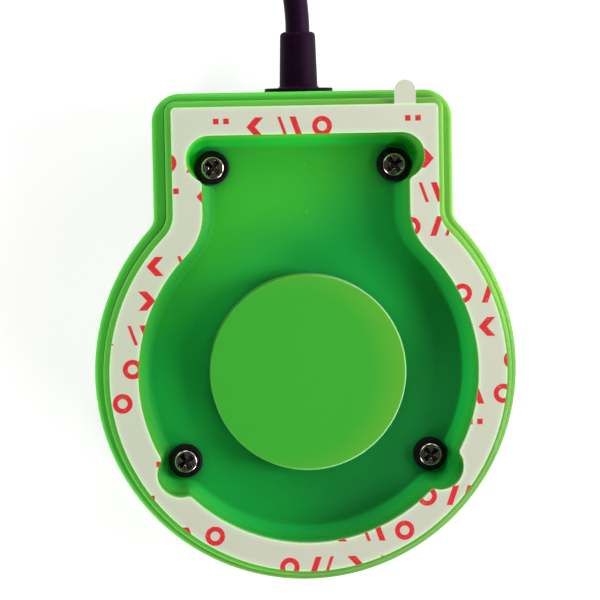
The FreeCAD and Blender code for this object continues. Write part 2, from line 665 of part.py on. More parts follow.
def lens_body():
    """Turned profile whose first side is the arc of the curved face."""
    body = new_body("radar_lens")
    sketch = new_sketch(body, "lens_profile", "XZ_Plane")
    groove_in = "lens_seal_radius - lens_seal_section / 2 - fit_gap"
    groove_out = "lens_seal_radius + lens_seal_section / 2 + fit_gap"
    groove_foot = FLOOR_UNDER + " - lens_seal_section - fit_gap"
    curve, apex, reach = number("lens_curve"), number("lens_apex"), number("flange_inner")
    turn = math.asin(reach / curve) - math.pi / 2
    arc_end = ("flange_inner", "lens_apex + lens_curve - sqrt(lens_curve ^ 2 - flange_inner ^ 2)")
    corners = [("0", "lens_apex"), arc_end, ("flange_inner", FLANGE_UNDER), ("flange_radius", FLANGE_UNDER),
               ("flange_radius", FLOOR_UNDER), (groove_out, FLOOR_UNDER), (groove_out, groove_foot),
               (groove_in, groove_foot), (groove_in, FLOOR_UNDER), ("lens_radius", FLOOR_UNDER),
               ("lens_radius", "lens_level"), ("0", "lens_level")]
    points = [Vector(number(x), number(y), 0) for x, y in corners]
    circle = Part.Circle(Vector(0, apex + curve, 0), Vector(0, 0, 1), curve)
    sides = [Part.ArcOfCircle(circle, -math.pi / 2, turn)]
    count = len(points)
    sides += [Part.LineSegment(points[i], points[(i + 1) % count]) for i in range(1, count)]
    sketch.addGeometry(sides, False)
    sketch.addConstraint([Sketcher.Constraint("Coincident", i, 2, (i + 1) % count, 1) for i in range(count)])
    sketch.addConstraint(Sketcher.Constraint("PointOnObject", 0, 1, -2))
    sketch.addConstraint(Sketcher.Constraint("PointOnObject", 0, 3, -2))
    sketch.addConstraint(Sketcher.Constraint("PointOnObject", count - 1, 1, -2))
    add_size(sketch, "curve", "lens_curve", "Radius", 0)
    add_size(sketch, "apex", "lens_apex", "DistanceY", -1, 1, 0, 1)
    add_size(sketch, "face", "lens_level", "DistanceY", -1, 1, count - 1, 1)
    add_size(sketch, "arc_reach", "flange_inner", "DistanceX", -1, 1, 1, 1)
    for i in range(2, count - 1):
        add_size(sketch, "across%d" % i, corners[i][0], "DistanceX", -1, 1, i, 1)
        add_size(sketch, "along%d" % i, corners[i][1], "DistanceY", -1, 1, i, 1)
    item = body.newObject("PartDesign::Revolution", "lens_turned")
    item.Profile = sketch
    item.ReferenceAxis = (sketch, ["V_Axis"])
    item.Angle = 360
    return body


lens = lens_body()
round_edges(lens, "lens_edge_round", "lens_edge", lambda edge: at_level(edge, number("lens_level")))

lens_seal = new_body("lens_seal")
primitive(lens_seal, "AdditiveTorus", "lens_seal_ring",
          {"Radius1": "lens_seal_radius", "Radius2": "lens_seal_section / 2"},
          ("0", "0", FLOOR_UNDER + " - lens_seal_section / 2"))

clamp_ring = new_body("lens_clamp_ring")
RING_UNDER = FLANGE_UNDER + " - ring_thickness"
add_cylinder(clamp_ring, "ring_disc", "ring_outer", "ring_thickness", ("0", "0", RING_UNDER))
for i, (x, y) in enumerate(EARS):
    add_cylinder(clamp_ring, "ear%d" % i, "ear_radius", "ring_thickness", (x, y, RING_UNDER))
cut_cylinder(clamp_ring, "ring_bore", "ring_inner", "3 * ring_thickness",
             ("0", "0", RING_UNDER + " - ring_thickness"))
for i, (x, y) in enumerate(EARS):
    cut_cylinder(clamp_ring, "ear_screw_hole%d" % i, "small_screw_radius + fit_gap", "3 * ring_thickness",
                 (x, y, RING_UNDER + " - ring_thickness"))

# Fasteners: one master each, repeated at every place


def pan_screw(label, radius, length, head_radius, head_height, rounding, span, slot, depth):
    """A pan-head screw with a cross recess: the head's seat is at height 0 and the shank points down."""
    body = new_body(label, False)
    add_cylinder(body, label + "_head", head_radius, head_height, ("0", "0", "0"))
    round_edges(body, label + "_head_round", rounding, lambda edge: at_level(edge, number(head_height)))
    add_cylinder(body, label + "_shank", radius, length, ("0", "0", "-(%s)" % length))
    for i, (along, across) in enumerate([(span, slot), (slot, span)]):
        cut_box(body, "%s_wing%d" % (label, i), along, across, depth,
                ("-(%s) / 2" % along, "-(%s) / 2" % across, "%s - %s" % (head_height, depth)))
    return body


def group(label, master, places):
    """One node of identical pieces: a copy of the master, as a separate solid, at every place."""
    doc.recompute()
    item = doc.addObject("Part::Feature", label)
    item.Label = label
    item.Shape = Part.makeCompound([master.Shape.transformed(place.toMatrix()) for place in places])
    nodes.append(item)
    return item


def spots(pairs, level, turn=Rotation()):
    """Placements at pairs of expressions, all at one level and turned alike."""
    return [Placement(Vector(number(x), number(y), number(level)), turn) for x, y in pairs]


cover_screw = pan_screw("cover_screw", "screw_radius", "screw_length", "screw_head_radius", "screw_head_height",
                        "screw_head_round", "cross_span", "cross_slot", "cross_depth")
DRIVEN_TURNS = [38, 52, 40, 33]
screw_places = [Placement(spot.Base, Rotation(Vector(0, 0, 1), turn))
                for spot, turn in zip(spots(SCREWS, "floor_level"), DRIVEN_TURNS)]
group("cover_screws", cover_screw, screw_places)

screw_seal = new_body("screw_seal", False)
primitive(screw_seal, "AdditiveTorus", "screw_seal_ring", {"Radius1": SEAL_RADIUS, "Radius2": "seal_section / 2"},
          ("0", "0", "-seal_section / 2"))
group("screw_seals", screw_seal, spots(SCREWS, "floor_level"))

SMALL_HEAD = ("small_head_radius", "small_head_height", "small_head_height / 3", "small_head_radius * 1.2",
              "small_slot", "small_head_height * 0.7")
clamp_screw = pan_screw("clamp_screw", "small_screw_radius", "clamp_screw_length", *SMALL_HEAD)
group("lens_clamp_screws", clamp_screw, spots(EARS, RING_UNDER, TO_DOWN))
BOARD_UNDER = "board_top - board_thickness"
board_screw = pan_screw("board_screw", "small_screw_radius", "board_screw_length", *SMALL_HEAD)
group("board_screws", board_screw, spots(PILLARS, BOARD_UNDER, TO_DOWN))
group("cable_clamp_screws", board_screw, spots(CLAMP_SCREWS, PEDESTAL_TOP + " + clamp_ear"))

# Circuit board
board = new_body("circuit_board")
pad(board, "board_blank", keyhole_sketch(board, "board_plan", BOARD_UNDER, BOARD), "board_thickness")
for i, (x, y) in enumerate(SCREWS):
    cut_cylinder(board, "boss_notch%d" % i, "boss_radius + boss_gap", "3 * board_thickness",
                 (x, y, BOARD_UNDER + " - board_thickness"))
for i, (x, y) in enumerate(PILLARS):
    cut_cylinder(board, "board_hole%d" % i, "small_screw_radius + fit_gap", "3 * board_thickness",
                 (x, y, BOARD_UNDER + " - board_thickness"))


def block(label, length, width, height, x, y, above=True):
    """A moulded electronic part of box shape, soldered to the board's upper or lower face."""
    body = new_body(label)
    level = "board_top + solder_gap" if above else "%s - solder_gap - %s" % (BOARD_UNDER, height)
    add_box(body, label + "_body", length, width, height,
            ("%s - %s / 2" % (x, length), "%s - %s / 2" % (y, width), level))
    return body


block("radar_chip", "chip_side", "chip_side", "chip_height", "0", "0")
block("processor", "processor_side", "processor_side", "chip_height", "processor_x", "processor_y", False)
block("radio_module", "radio_length", "radio_width", "radio_height", "radio_x", "radio_y", False)
block("voltage_regulator", "regulator_side", "regulator_side", "regulator_height", "regulator_x", "regulator_y",
      False)
block("memory_chip", "memory_length", "memory_width", "chip_height", "memory_x", "memory_y", False)
inductor = new_body("power_inductor")
add_cylinder(inductor, "inductor_body", "inductor_radius", "inductor_height",
             ("inductor_x", "inductor_y", BOARD_UNDER + " - solder_gap - inductor_height"))
capacitor = new_body("power_capacitor", False)
add_cylinder(capacitor, "capacitor_body", "capacitor_radius", "capacitor_height", ("0", "0", "0"))
round_edges(capacitor, "capacitor_round", "capacitor_radius / 8", lambda edge: at_level(edge, 0))
group("power_capacitors", capacitor,
      spots([("capacitor_x", "capacitor_y"), ("-capacitor_x", "capacitor_y")],
            BOARD_UNDER + " - solder_gap - capacitor_height"))
resistor = new_body("small_part", False)
add_box(resistor, "small_part_body", "resistor_length", "resistor_width", "resistor_height",
        ("-resistor_length / 2", "-resistor_width / 2", "-resistor_height"))
small_spots = [("small_part_x + small_part_step * %d" % column, "small_part_y - small_part_row * %d" % row)
               for row in range(2) for column in range(4)]
group("small_parts", resistor, spots(small_spots, BOARD_UNDER + " - solder_gap"))

header = new_body("wire_header")
HEADER_FOOT = "board_top + solder_gap"
add_box(header, "header_block", "2 * header_half_width", "header_length", "header_height",
        ("-header_half_width", "header_front", HEADER_FOOT))
PLUG_FOOT = HEADER_FOOT + " + header_wall + fit_gap"
cut_box(header, "header_socket", "2 * (plug_half_width + fit_gap)", "header_length", "plug_height + 2 * fit_gap",
        ("-plug_half_width - fit_gap", "header_front + header_length / 2", PLUG_FOOT + " - fit_gap"))
plug = new_body("wire_plug")
PLUG_FRONT = "header_front + header_length / 2 + fit_gap"
add_box(plug, "plug_block", "2 * plug_half_width", "plug_length", "plug_height",
        ("-plug_half_width", PLUG_FRONT, PLUG_FOOT))

# Cable inside the housing, its clamp and the moulded boot
BOOT_TIP = "boot_face + boot_length"
lead = new_body("cable_lead")
add_cylinder(lead, "lead_jacket", "cable_radius", BOOT_TIP + " - lead_end",
             ("0", "lead_end", "exit_level"), TO_BACK)

clamp = new_body("cable_clamp")
CLAMP_FRONT = "clamp_y - clamp_length / 2"
add_cylinder(clamp, "clamp_arch", "cable_radius + clamp_wall", "clamp_length",
             ("0", CLAMP_FRONT, "exit_level"), TO_BACK)
add_box(clamp, "clamp_ears", "2 * clamp_half_width", "clamp_length", "clamp_ear",
        ("-clamp_half_width", CLAMP_FRONT, PEDESTAL_TOP))
cut_box(clamp, "clamp_foot", "4 * cable_radius", "3 * clamp_length", "4 * cable_radius",
        ("-2 * cable_radius", CLAMP_FRONT + " - clamp_length", PEDESTAL_TOP + " - 4 * cable_radius"))
cut_box(clamp, "clamp_slot", "2 * (cable_radius + fit_gap)", "3 * clamp_length", "2 * cable_radius",
        ("-cable_radius - fit_gap", CLAMP_FRONT + " - clamp_length", "exit_level - 2 * cable_radius"))
cut_cylinder(clamp, "clamp_channel", "cable_radius + fit_gap", "3 * clamp_length",
             ("0", CLAMP_FRONT + " - clamp_length", "exit_level"), TO_BACK)
for i, (x, y) in enumerate(CLAMP_SCREWS):
    cut_cylinder(clamp, "clamp_screw_hole%d" % i, "small_screw_radius + fit_gap", "3 * clamp_ear",
                 (x, y, PEDESTAL_TOP + " - clamp_ear"))

BOOT_BORE = "cable_radius + fit_gap"
NECK_START = "boot_tail + boot_inner_thickness"
NECK_END = NECK_START + " + seat_depth"
BOOT_ALL = NECK_END + " + boot_length"
boot = turned("cable_boot", [
    (BOOT_BORE, "0"), ("boot_tip_radius", "0"), ("boot_tip_radius", "boot_tail"),
    ("boot_inner_radius", "boot_tail"),
    ("boot_inner_radius", NECK_START), ("boot_neck_radius", NECK_START), ("boot_neck_radius", NECK_END),
    ("boot_flange_radius", NECK_END), ("boot_flange_radius", NECK_END + " + boot_flange_thickness"),
    ("boot_base_radius", NECK_END + " + boot_flange_thickness"), ("boot_tip_radius", BOOT_ALL),
    (BOOT_BORE, BOOT_ALL)])
set_place(boot, ("0", "boot_face - seat_depth - boot_inner_thickness - boot_tail", "exit_level"), TO_BACK)

# Swept pieces: core wires and the free stretches of cable
ARC_SHARE = 0.45


def rounded_path(points):
    """Straight runs joined by tangent arcs that take a share of the shorter run. Also gives the arcs' radii."""
    edges = []
    radii = []
    start = points[0]
    for before, corner, after in zip(points, points[1:], points[2:]):
        into, out = corner - before, after - corner
        shorter = min(into.Length, out.Length)
        into.normalize()
        out.normalize()
        half = into.getAngle(out) / 2
        radius = ARC_SHARE * shorter / math.tan(half)
        radii.append(round(radius, 1))
        first = corner - into * ARC_SHARE * shorter
        last = corner + out * ARC_SHARE * shorter
        inward = (out - into).normalize()
        middle = corner + inward * radius * (1 / math.cos(half) - 1)
        edges += [Part.LineSegment(start, first).toShape(), Part.Arc(first, middle, last).toShape()]
        start = last
    edges.append(Part.LineSegment(start, points[-1]).toShape())
    return edges, radii


def swept(edges, radius):
    """A round bar along a path, with its volume against section times length."""
    path = Part.Wire(edges)
    start = edges[0].Vertexes[0].Point
    ring = Part.Wire(Part.makeCircle(radius, start, edges[0].tangentAt(edges[0].FirstParameter)))
    shape = path.makePipeShell([ring], True, False)
    share = shape.Volume / (math.pi * radius ** 2 * path.Length)
    return shape, path.Length, share


def solid_node(label, shape):
    """A node whose shape is worked out on the driving dimensions."""
    item = doc.addObject("Part::Feature", label)
    item.Label = label
    item.Shape = shape
    nodes.append(item)
    return item


def cable_node(label, points):
    """A free stretch of cable along a route, printed with its radii and its volume check."""
    edges, radii = rounded_path(points)
    shape, length, share = swept(edges, number("cable_radius"))
    print(label, "radii", radii, "length", round(length, 1), "volume share", round(share, 4))
    solid_node(label, shape)
    return length


# Four cores from the jacket's end to their plug
wires = []
plug_back = number(PLUG_FRONT + " + plug_length")
plug_middle = number(PLUG_FOOT + " + plug_height / 2")
core_step = number("1.5 * wire_radius")
wire_gap = number("lead_end") - plug_back
for side in (-1, 1):
    for order, over in ((0.5, 1), (1.5, -1)):
        x, z = side * core_step, number("exit_level") + over * core_step
        end_x = side * order * number("wire_pitch")
        route = [Vector(x, number("lead_end"), z), Vector(x, number("lead_end") - wire_gap / 5, z),
                 Vector(end_x, plug_back + wire_gap / 5, plug_middle), Vector(end_x, plug_back, plug_middle)]
        wires.append(swept(rounded_path(route)[0], number("wire_radius"))[0])
solid_node("core_wires", Part.makeCompound(wires))

# Cable from the boot to the coil, which lies on the same surface as the sensor
COIL_LEVEL = number("cable_radius + tie_thickness + tie_gap + fit_gap")
tip = number(BOOT_TIP)
coil_start = Vector(coil_start_x, tip + coil_distance, COIL_LEVEL)
RUN_ROUTE = [Vector(0, tip, exit_level), Vector(0, tip + 3.1, exit_level),
             Vector(-0.62, tip + 9.1, exit_level - 0.2),
             Vector(-1.9, tip + 20.1, 12.8), Vector(-3.4, tip + 33.3, 6.4), Vector(-4.2, tip + 45.7, COIL_LEVEL),
             coil_start]
run_length = cable_node("cable_run", RUN_ROUTE)

# Coil in two layers: the lower one spirals in, the upper one out, with the climb where the spiral turns
turn_angle = 2 * math.pi * coil_layer_turns
coil_centre = coil_start + Vector(-coil_outer, coil_straight, 0)


def coil_point(angle):
    """Point and heading of the coil's centre line: its radius falls by a pitch each turn, then grows again."""
    sign = 1 if angle > turn_angle else -1
    radius = coil_outer - coil_pitch * (turn_angle - abs(angle - turn_angle)) / (2 * math.pi)
    share = min(1, max(0, (angle - turn_angle) / math.pi + 0.5))
    rise = coil_pitch * share ** 2 * (3 - 2 * share)
    slope = coil_pitch * 6 * share * (1 - share) / math.pi
    c, s_ = math.cos(angle), math.sin(angle)
    growth = 0 if angle == turn_angle else sign * coil_pitch / (2 * math.pi)
    point = coil_centre + Vector(radius * c, radius * s_, rise)
    heading = Vector(growth * c - radius * s_, growth * s_ + radius * c, slope).normalize()
    return point, heading


def arc_from(point, heading, end):
    """The arc that leaves a point along a heading and reaches an end."""
    chord = end - point
    reach = chord.Length
    chord.normalize()
    half = heading.getAngle(chord)
    side = (chord * heading.dot(chord) - heading).normalize()
    middle = point + chord * reach / 2 - side * reach / 2 * math.tan(half / 2)
    return Part.Arc(point, middle, end).toShape()


def biarc(point, heading, end, end_heading):
    """Two tangent arcs between two points with given headings, with equal tangent lengths."""
    chord = end - point
    total = heading + end_heading
    weight = 2 * (1 - heading.dot(end_heading))
    along = chord.dot(total)
    length = (math.sqrt(along ** 2 + weight * chord.dot(chord)) - along) / weight
    joint = (point + end + (heading - end_heading) * length) * 0.5
    joint_heading = (end - end_heading * length - point - heading * length).normalize()
    return [arc_from(point, heading, joint), arc_from(joint, joint_heading, end)]


quarter = math.pi / 2
steps = round(2 * turn_angle / quarter)
stations = [coil_point(2 * turn_angle * i / steps) for i in range(steps + 1)]
lead_in = Vector(0, coil_straight, 0)
stations[0] = (stations[0][0], Vector(0, 1, 0))
last_point = stations[-1][0]
stations[-1] = (last_point, Vector(0, -1, 0))
coil_path = [Part.LineSegment(coil_start, coil_start + lead_in).toShape()]
for (first, heading), (last, end_heading) in zip(stations, stations[1:]):
    coil_path += biarc(first, heading, last, end_heading)
coil_end = last_point - lead_in
coil_path.append(Part.LineSegment(last_point, coil_end).toShape())
coil_shape, coil_length, coil_share = swept(coil_path, number("cable_radius"))
solid_node("cable_coil", coil_shape)


def least_gap(path, radius, spacing=2.0):
    """The least gap of a tube to itself, on points of its centre line that lie over a half turn apart."""
    points = Part.Wire(path).discretize(Distance=spacing)
    apart = int(math.pi * coil_outer / 2 / spacing)
    nearest = min(points[i].distanceToPoint(other) for i in range(len(points)) for other in points[i + apart:])
    return nearest - 2 * radius


print("cable_coil length", round(coil_length, 1), "volume share", round(coil_share, 4),
      "least gap", round(least_gap(coil_path, number("cable_radius")), 3))

# Cable from the coil to its connector
TAIL_ROUTE = [coil_end, coil_end + Vector(0, -8.0, 0), Vector(-85.0, tip + 36.1, 6.9),
              Vector(-85.8, tip + 26.1, 5.1),
              Vector(-86.55, tip + 18.1, 5.1)]
tail_length = cable_node("cable_tail", TAIL_ROUTE)
print("free cable", round(run_length + coil_length + tail_length, 1))

# Two straps round the coil's turns
tie = new_body("coil_tie", False)
STRAP_INSIDE = "coil_pitch * (coil_layer_turns - 0.75) + 2 * cable_radius + 2 * tie_slack"
STRAP_RISE = "coil_pitch + 2 * cable_radius + 2 * tie_gap"
add_box(tie, "strap_outside", "tie_width", STRAP_INSIDE + " + 2 * tie_thickness",
        STRAP_RISE + " + 2 * tie_thickness",
        ("-tie_width / 2", "-(%s) / 2 - tie_thickness" % STRAP_INSIDE, "fit_gap"))


def strap_corner(edge, inset):
    """Whether an edge along X is a corner of the strap, a given way in from its outer faces."""
    box = edge.BoundBox
    foot = number("fit_gap") + inset
    head = number(STRAP_RISE + " + 2 * tie_thickness + fit_gap") - inset
    at_end = min(abs(box.ZMin - foot), abs(box.ZMin - head)) < 1e-3
    return box.YLength < 1e-3 and box.ZLength < 1e-3 and at_end


cut_box(tie, "strap_inside", "3 * tie_width", STRAP_INSIDE, STRAP_RISE,
        ("-1.5 * tie_width", "-(%s) / 2" % STRAP_INSIDE, "fit_gap + tie_thickness"))
round_edges(tie, "strap_inner_round", "tie_round", lambda edge: strap_corner(edge, number("tie_thickness")))
round_edges(tie, "strap_outer_round", "tie_round + tie_thickness", lambda edge: strap_corner(edge, 0))
far_tie = coil_centre + Vector(0, number("coil_outer - coil_pitch * (coil_layer_turns / 2 - 0.125)"), -COIL_LEVEL)
near_tie = coil_centre - Vector(0, number("coil_outer - coil_pitch * (coil_layer_turns / 2 + 0.375)"), COIL_LEVEL)
group("coil_ties", tie, [Placement(far_tie, Rotation()), Placement(near_tie, Rotation())])

# Connector at the cable's end: moulded grip, contact carrier with its pins, and the ring that turns on the carrier
plug_start = TAIL_ROUTE[-1]
plug_heading = (TAIL_ROUTE[-1] - TAIL_ROUTE[-2]).normalize()
plug_turn = Rotation(Vector(0, 0, 1), plug_heading)
plug_place = Placement(plug_start, plug_turn)
grip = turned("connector_body", [
    ("0", "0"), ("grip_neck", "0"), ("grip_radius", "grip_taper"), ("grip_radius", "grip_length"),
    ("0", "grip_length")])
grip.Placement = plug_place

RING_START = "grip_length + nut_play / 3"
RING_END = RING_START + " + nut_length"
THREAD_END = RING_END + " + thread_length"
RIDGE_START = RING_START + " + nut_length / 2"
RIDGE_END = RIDGE_START + " + ridge_width"
ring = turned("connector_nut", [
    ("carrier_radius + nut_fit", RING_START), ("nut_radius", RING_START), ("nut_radius", RING_END),
    ("thread_radius", RING_END), ("thread_radius", THREAD_END), ("carrier_radius + nut_fit", THREAD_END),
    ("carrier_radius + nut_fit", RIDGE_END + " + nut_play"),
    ("ridge_radius + nut_play", RIDGE_END + " + nut_play"),
    ("ridge_radius + nut_play", RIDGE_START + " - nut_play"),
    ("carrier_radius + nut_fit", RIDGE_START + " - nut_play")])
doc.recompute()
groove = cut_cylinder(ring, "knurl_groove", "knurl_radius", "3 * nut_length",
                      ("nut_radius", "0", RING_START + " - nut_length"))
doc.recompute()
knurl = ring.newObject("PartDesign::PolarPattern", "knurl")
knurl.Originals = [groove]
knurl.Axis = (plane(ring, "Z_Axis"), [""])
knurl.Angle = 360
knurl.setExpression("Occurrences", bound("knurl_count"))
ring.Tip = knurl
ring.Placement = plug_place

CARRIER_END = THREAD_END + " - thread_recess"
carrier = turned("contact_carrier", [
    ("0", "grip_length"), ("carrier_radius", "grip_length"), ("carrier_radius", RIDGE_START),
    ("ridge_radius", RIDGE_START), ("ridge_radius", RIDGE_END), ("carrier_radius", RIDGE_END),
    ("carrier_radius", CARRIER_END), ("0", CARRIER_END)])
carrier.Placement = plug_place

pin = new_body("contact_pin", False)
add_cylinder(pin, "pin_shank", "pin_radius", "pin_reach", ("0", "0", "0"))
round_edges(pin, "pin_tip", "pin_radius * 0.8", lambda edge: at_level(edge, number("pin_reach")))
PIN_TURNS = [45, 135, 225, 315]
pin_places = [("pin_circle * cos(%d)" % turn, "pin_circle * sin(%d)" % turn) for turn in PIN_TURNS]
group("contact_pins", pin, [plug_place * spot for spot in spots(pin_places, CARRIER_END)])

# Every object is tested before anything is written
doc.recompute()
failed = [item.Name for item in doc.Objects if "Invalid" in item.State or "Error" in item.State]
failed += [item.Label for item in nodes if item.Shape.isNull() or not item.Shape.isValid()]
if failed:
    raise RuntimeError("failed: " + ", ".join(failed))
os.makedirs("parts", exist_ok=True)
for item in nodes:
    print(item.Label, "solids", len(item.Shape.Solids), "volume", round(item.Shape.Volume, 1))
    item.Shape.exportStep("parts/%s.step" % item.Label)
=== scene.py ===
import math

import bpy
import numpy as np
from mathutils import Matrix, Vector


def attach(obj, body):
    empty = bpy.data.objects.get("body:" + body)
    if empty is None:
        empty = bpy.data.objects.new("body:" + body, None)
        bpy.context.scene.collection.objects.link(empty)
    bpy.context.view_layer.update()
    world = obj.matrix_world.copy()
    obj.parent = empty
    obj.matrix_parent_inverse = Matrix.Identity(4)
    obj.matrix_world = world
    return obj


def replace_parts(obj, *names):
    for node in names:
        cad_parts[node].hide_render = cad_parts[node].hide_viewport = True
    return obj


# Looks of the level sensor's solids, its finer details, and the floor, light and camera round it
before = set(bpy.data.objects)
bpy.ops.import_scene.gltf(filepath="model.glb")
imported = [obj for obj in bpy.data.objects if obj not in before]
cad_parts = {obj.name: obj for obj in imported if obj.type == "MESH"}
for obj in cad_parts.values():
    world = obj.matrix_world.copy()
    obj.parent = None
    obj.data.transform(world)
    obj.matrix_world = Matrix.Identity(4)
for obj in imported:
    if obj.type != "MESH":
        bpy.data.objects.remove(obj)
scene = bpy.context.scene
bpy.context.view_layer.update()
MM = 0.001

# Levels of the solids in millimetres above the crown that the sensor lies on
CABLE_LEVEL = 15.5
FLOOR_LEVEL = 23.0
LEDGE_LEVEL = 25.0
RIM_LEVEL = 30.0

# Outlines as radius, half width and end of the neck, and hollow round, in millimetres
RIM = (42.0, 28.4, 55.9, 5.2)
FILM = (40.75, 27.15, 54.65, 6.45)
OPENING = (34.9, 21.2, 44.1, 12.0)

# Round of the rim's corners, end of the recess between its upper lobes, the lobes, and the disc in the recess
RIM_CORNER = 2.2
OPENING_END = 48.9
LOBES = [(19.55, 44.1), (26.7, -19.9)]
LOBE_RADIUS = 4.8
LENS_RADIUS = 20.2

# Shader maths: a socket that Python expressions work on


class Wire:
    """One output socket of a material. Expressions on wires add Math nodes to the same material."""

    def __init__(self, tree, socket):
        self.tree = tree
        self.socket = socket

    def maths(self, operation, *others):
        node = self.tree.nodes.new("ShaderNodeMath")
        node.operation = operation
        for slot, value in zip(node.inputs, (self, *others)):
            if isinstance(value, Wire):
                self.tree.links.new(value.socket, slot)
            else:
                slot.default_value = value
        return Wire(self.tree, node.outputs[0])

    def __add__(self, other):
        return self.maths("ADD", other)

    def __sub__(self, other):
        return self.maths("SUBTRACT", other)

    def __mul__(self, other):
        return self.maths("MULTIPLY", other)

    def __truediv__(self, other):
        return self.maths("DIVIDE", other)

    __radd__ = __add__
    __rmul__ = __mul__

    def __rsub__(self, other):
        return (self * -1) + other

    def __neg__(self):
        return self * -1

    def __abs__(self):
        return self.maths("ABSOLUTE")

    def bigger(self, other):
        return self.maths("MAXIMUM", other)

    def smaller(self, other):
        return self.maths("MINIMUM", other)

    def rest_of(self, step):
        """What is left after whole steps, from 0 up to the step."""
        return self - (self / step).maths("FLOOR") * step

    def power(self, exponent):
        return self.bigger(0.0).maths("POWER", exponent)


class Finish:
    """A material under construction: one Principled shader, and one method that adds any other node."""

    def __init__(self, name, **fixed):
        """The keywords are values of the shader's own sockets."""
        self.material = bpy.data.materials.new(name)
        self.material.use_nodes = True
        self.tree = self.material.node_tree
        self.shader = self.tree.nodes["Principled BSDF"]
        for socket, value in fixed.items():
            self.shader.inputs[socket.replace("_", " ")].default_value = value
        self.place = self.add("ShaderNodeTexCoord", output="Object")

    def node(self, kind, settings=None, **sockets):
        """A node of a kind: its settings first, then the values or links of its sockets. A socket's keyword
        is its name, or an underscore and its number."""
        made = self.tree.nodes.new(kind)
        for key, value in (settings or {}).items():
            setattr(made, key, value)
        for key, value in sockets.items():
            slot = made.inputs[int(key[1:])] if key[1:].isdigit() else made.inputs[key.replace("_", " ")]
            if isinstance(value, Wire):
                self.tree.links.new(value.socket, slot)
            else:
                slot.default_value = (*value, 1) if isinstance(value, tuple) else value
        return made

    def add(self, kind, settings=None, output=0, **sockets):
        """One output of a new node."""
        return Wire(self.tree, self.node(kind, settings, **sockets).outputs[output])

    def noise(self, grain, detail=2.0):
        """Noise from 0 to 1 whose blotches are about grain millimetres wide."""
        return self.add("ShaderNodeTexNoise", Vector=self.place, Scale=1 / (grain * MM), Detail=detail)

    def axes(self):
        """The three coordinates in millimetres."""
        parts = self.node("ShaderNodeSeparateXYZ", Vector=self.place)
        return [Wire(self.tree, part) / MM for part in parts.outputs]

    def ramp(self, value, low, high):
        """0 below low, 1 above high, and a smooth step between. It falls where low is the larger one."""
        settings = {"interpolation_type": "SMOOTHSTEP"}
        return self.add("ShaderNodeMapRange", settings, Value=value, From_Min=low, From_Max=high)

    def mix(self, share, first, second):
        """One colour turning into another as the share goes from 0 to 1."""
        return self.add("ShaderNodeMix", {"data_type": "RGBA"}, output=2, _0=share, _6=first, _7=second)

    def specks(self, spacing, size, share):
        """Round specks of a size, in a share of the cells of a grid with a spacing, both in millimetres."""
        cells = self.node("ShaderNodeTexVoronoi", Vector=self.place, Scale=1 / (spacing * MM))
        near, colour = [Wire(self.tree, cells.outputs[name]) for name in ("Distance", "Color")]
        chance = self.add("ShaderNodeSeparateColor", Color=colour)
        return self.ramp(near, size / spacing, size / spacing * 0.5) * self.ramp(chance, share, share - 0.001)

    def bumps(self, height, depth):
        """Bump that rises by a depth in millimetres as the height goes from 0 to 1."""
        self.wear(Normal=self.add("ShaderNodeBump", Strength=1.0, Distance=depth * MM, Height=height))

    def wear(self, **sockets):
        """Links patterns to the shader's own sockets."""
        for key, value in sockets.items():
            self.tree.links.new(value.socket, self.shader.inputs[key.replace("_", " ")])
        return self.material


# Materials, with the colour of painted shade in creases, its reach in millimetres, and the colour of dust
SHADE_GREEN = (0.004, 0.20, 0.045)
SHADE_REACH = 8.0
PALE_DUST = (0.45, 0.62, 0.38)


def moulded(f, body):
    """Dust, flow marks, fine grain and gloss of a moulded green part, put on a body colour."""
    dust = f.specks(5.5, 0.16, 0.16)
    body = f.mix(dust * 0.55, body, PALE_DUST)
    grain = f.noise(0.35, 2)
    flow_marks = f.noise(2.5, 1)
    f.bumps(grain * 0.7 + flow_marks * 0.6 + dust * 0.8, 0.018)
    return f.wear(Base_Color=body, Roughness=0.42 + f.noise(6, 2) * 0.1 + grain * 0.06)


def crease_shade(f, body, share):
    """Painted shade: deeper green where other walls stand close by."""
    open_view = f.add("ShaderNodeAmbientOcclusion", {"samples": 8}, output="AO", Distance=SHADE_REACH * MM)
    return f.mix(f.ramp(open_view, 0.85, 0.25) * share, body, SHADE_GREEN)


def reach(x, y):
    """Distance from the place where both coordinates are zero."""
    return (x * x + y * y).power(0.5)


def keyhole_gap(f, x, y, radius, half, end, blend):
    """Distance out from a circle with a neck, in millimetres, negative inside. Hollow rounds join the two.
    Beside such a round, the distance is taken from its arc."""
    side = abs(x)
    lift = math.sqrt((radius + blend) ** 2 - (half + blend) ** 2)
    gap = (reach(x, y) - radius).smaller((side - half).bigger(y - end).bigger(-y))
    hollow = blend - reach(side - (half + blend), y - lift)
    beside = f.ramp(y - side * (lift / (half + blend)), -0.01, 0.01) * f.ramp(y, lift + 0.01, lift - 0.01)
    return gap + beside * (hollow - gap)


def opening_gap(f, x, y):
    """Distance out from the edge of the recess, with its four lobes, in millimetres."""
    side = abs(x)
    upper_lobe_x = LOBES[0][0]
    between_lobes = (side - upper_lobe_x).bigger(y - OPENING_END).bigger(-y)
    gap = keyhole_gap(f, x, y, *OPENING).smaller(between_lobes)
    for lobe_x, lobe_y in LOBES:
        gap = gap.smaller(reach(side - lobe_x, y - lobe_y) - LOBE_RADIUS)
    return gap


def shaded_side_wall(f):
    """Green of the outer side walls, darkened with painted shade, in soft clouds."""
    clouds = f.ramp(f.noise(22, 3), 0.3, 0.7)
    return f.mix(clouds * 0.5, (0.046, 0.250, 0.032), (0.038, 0.222, 0.031))


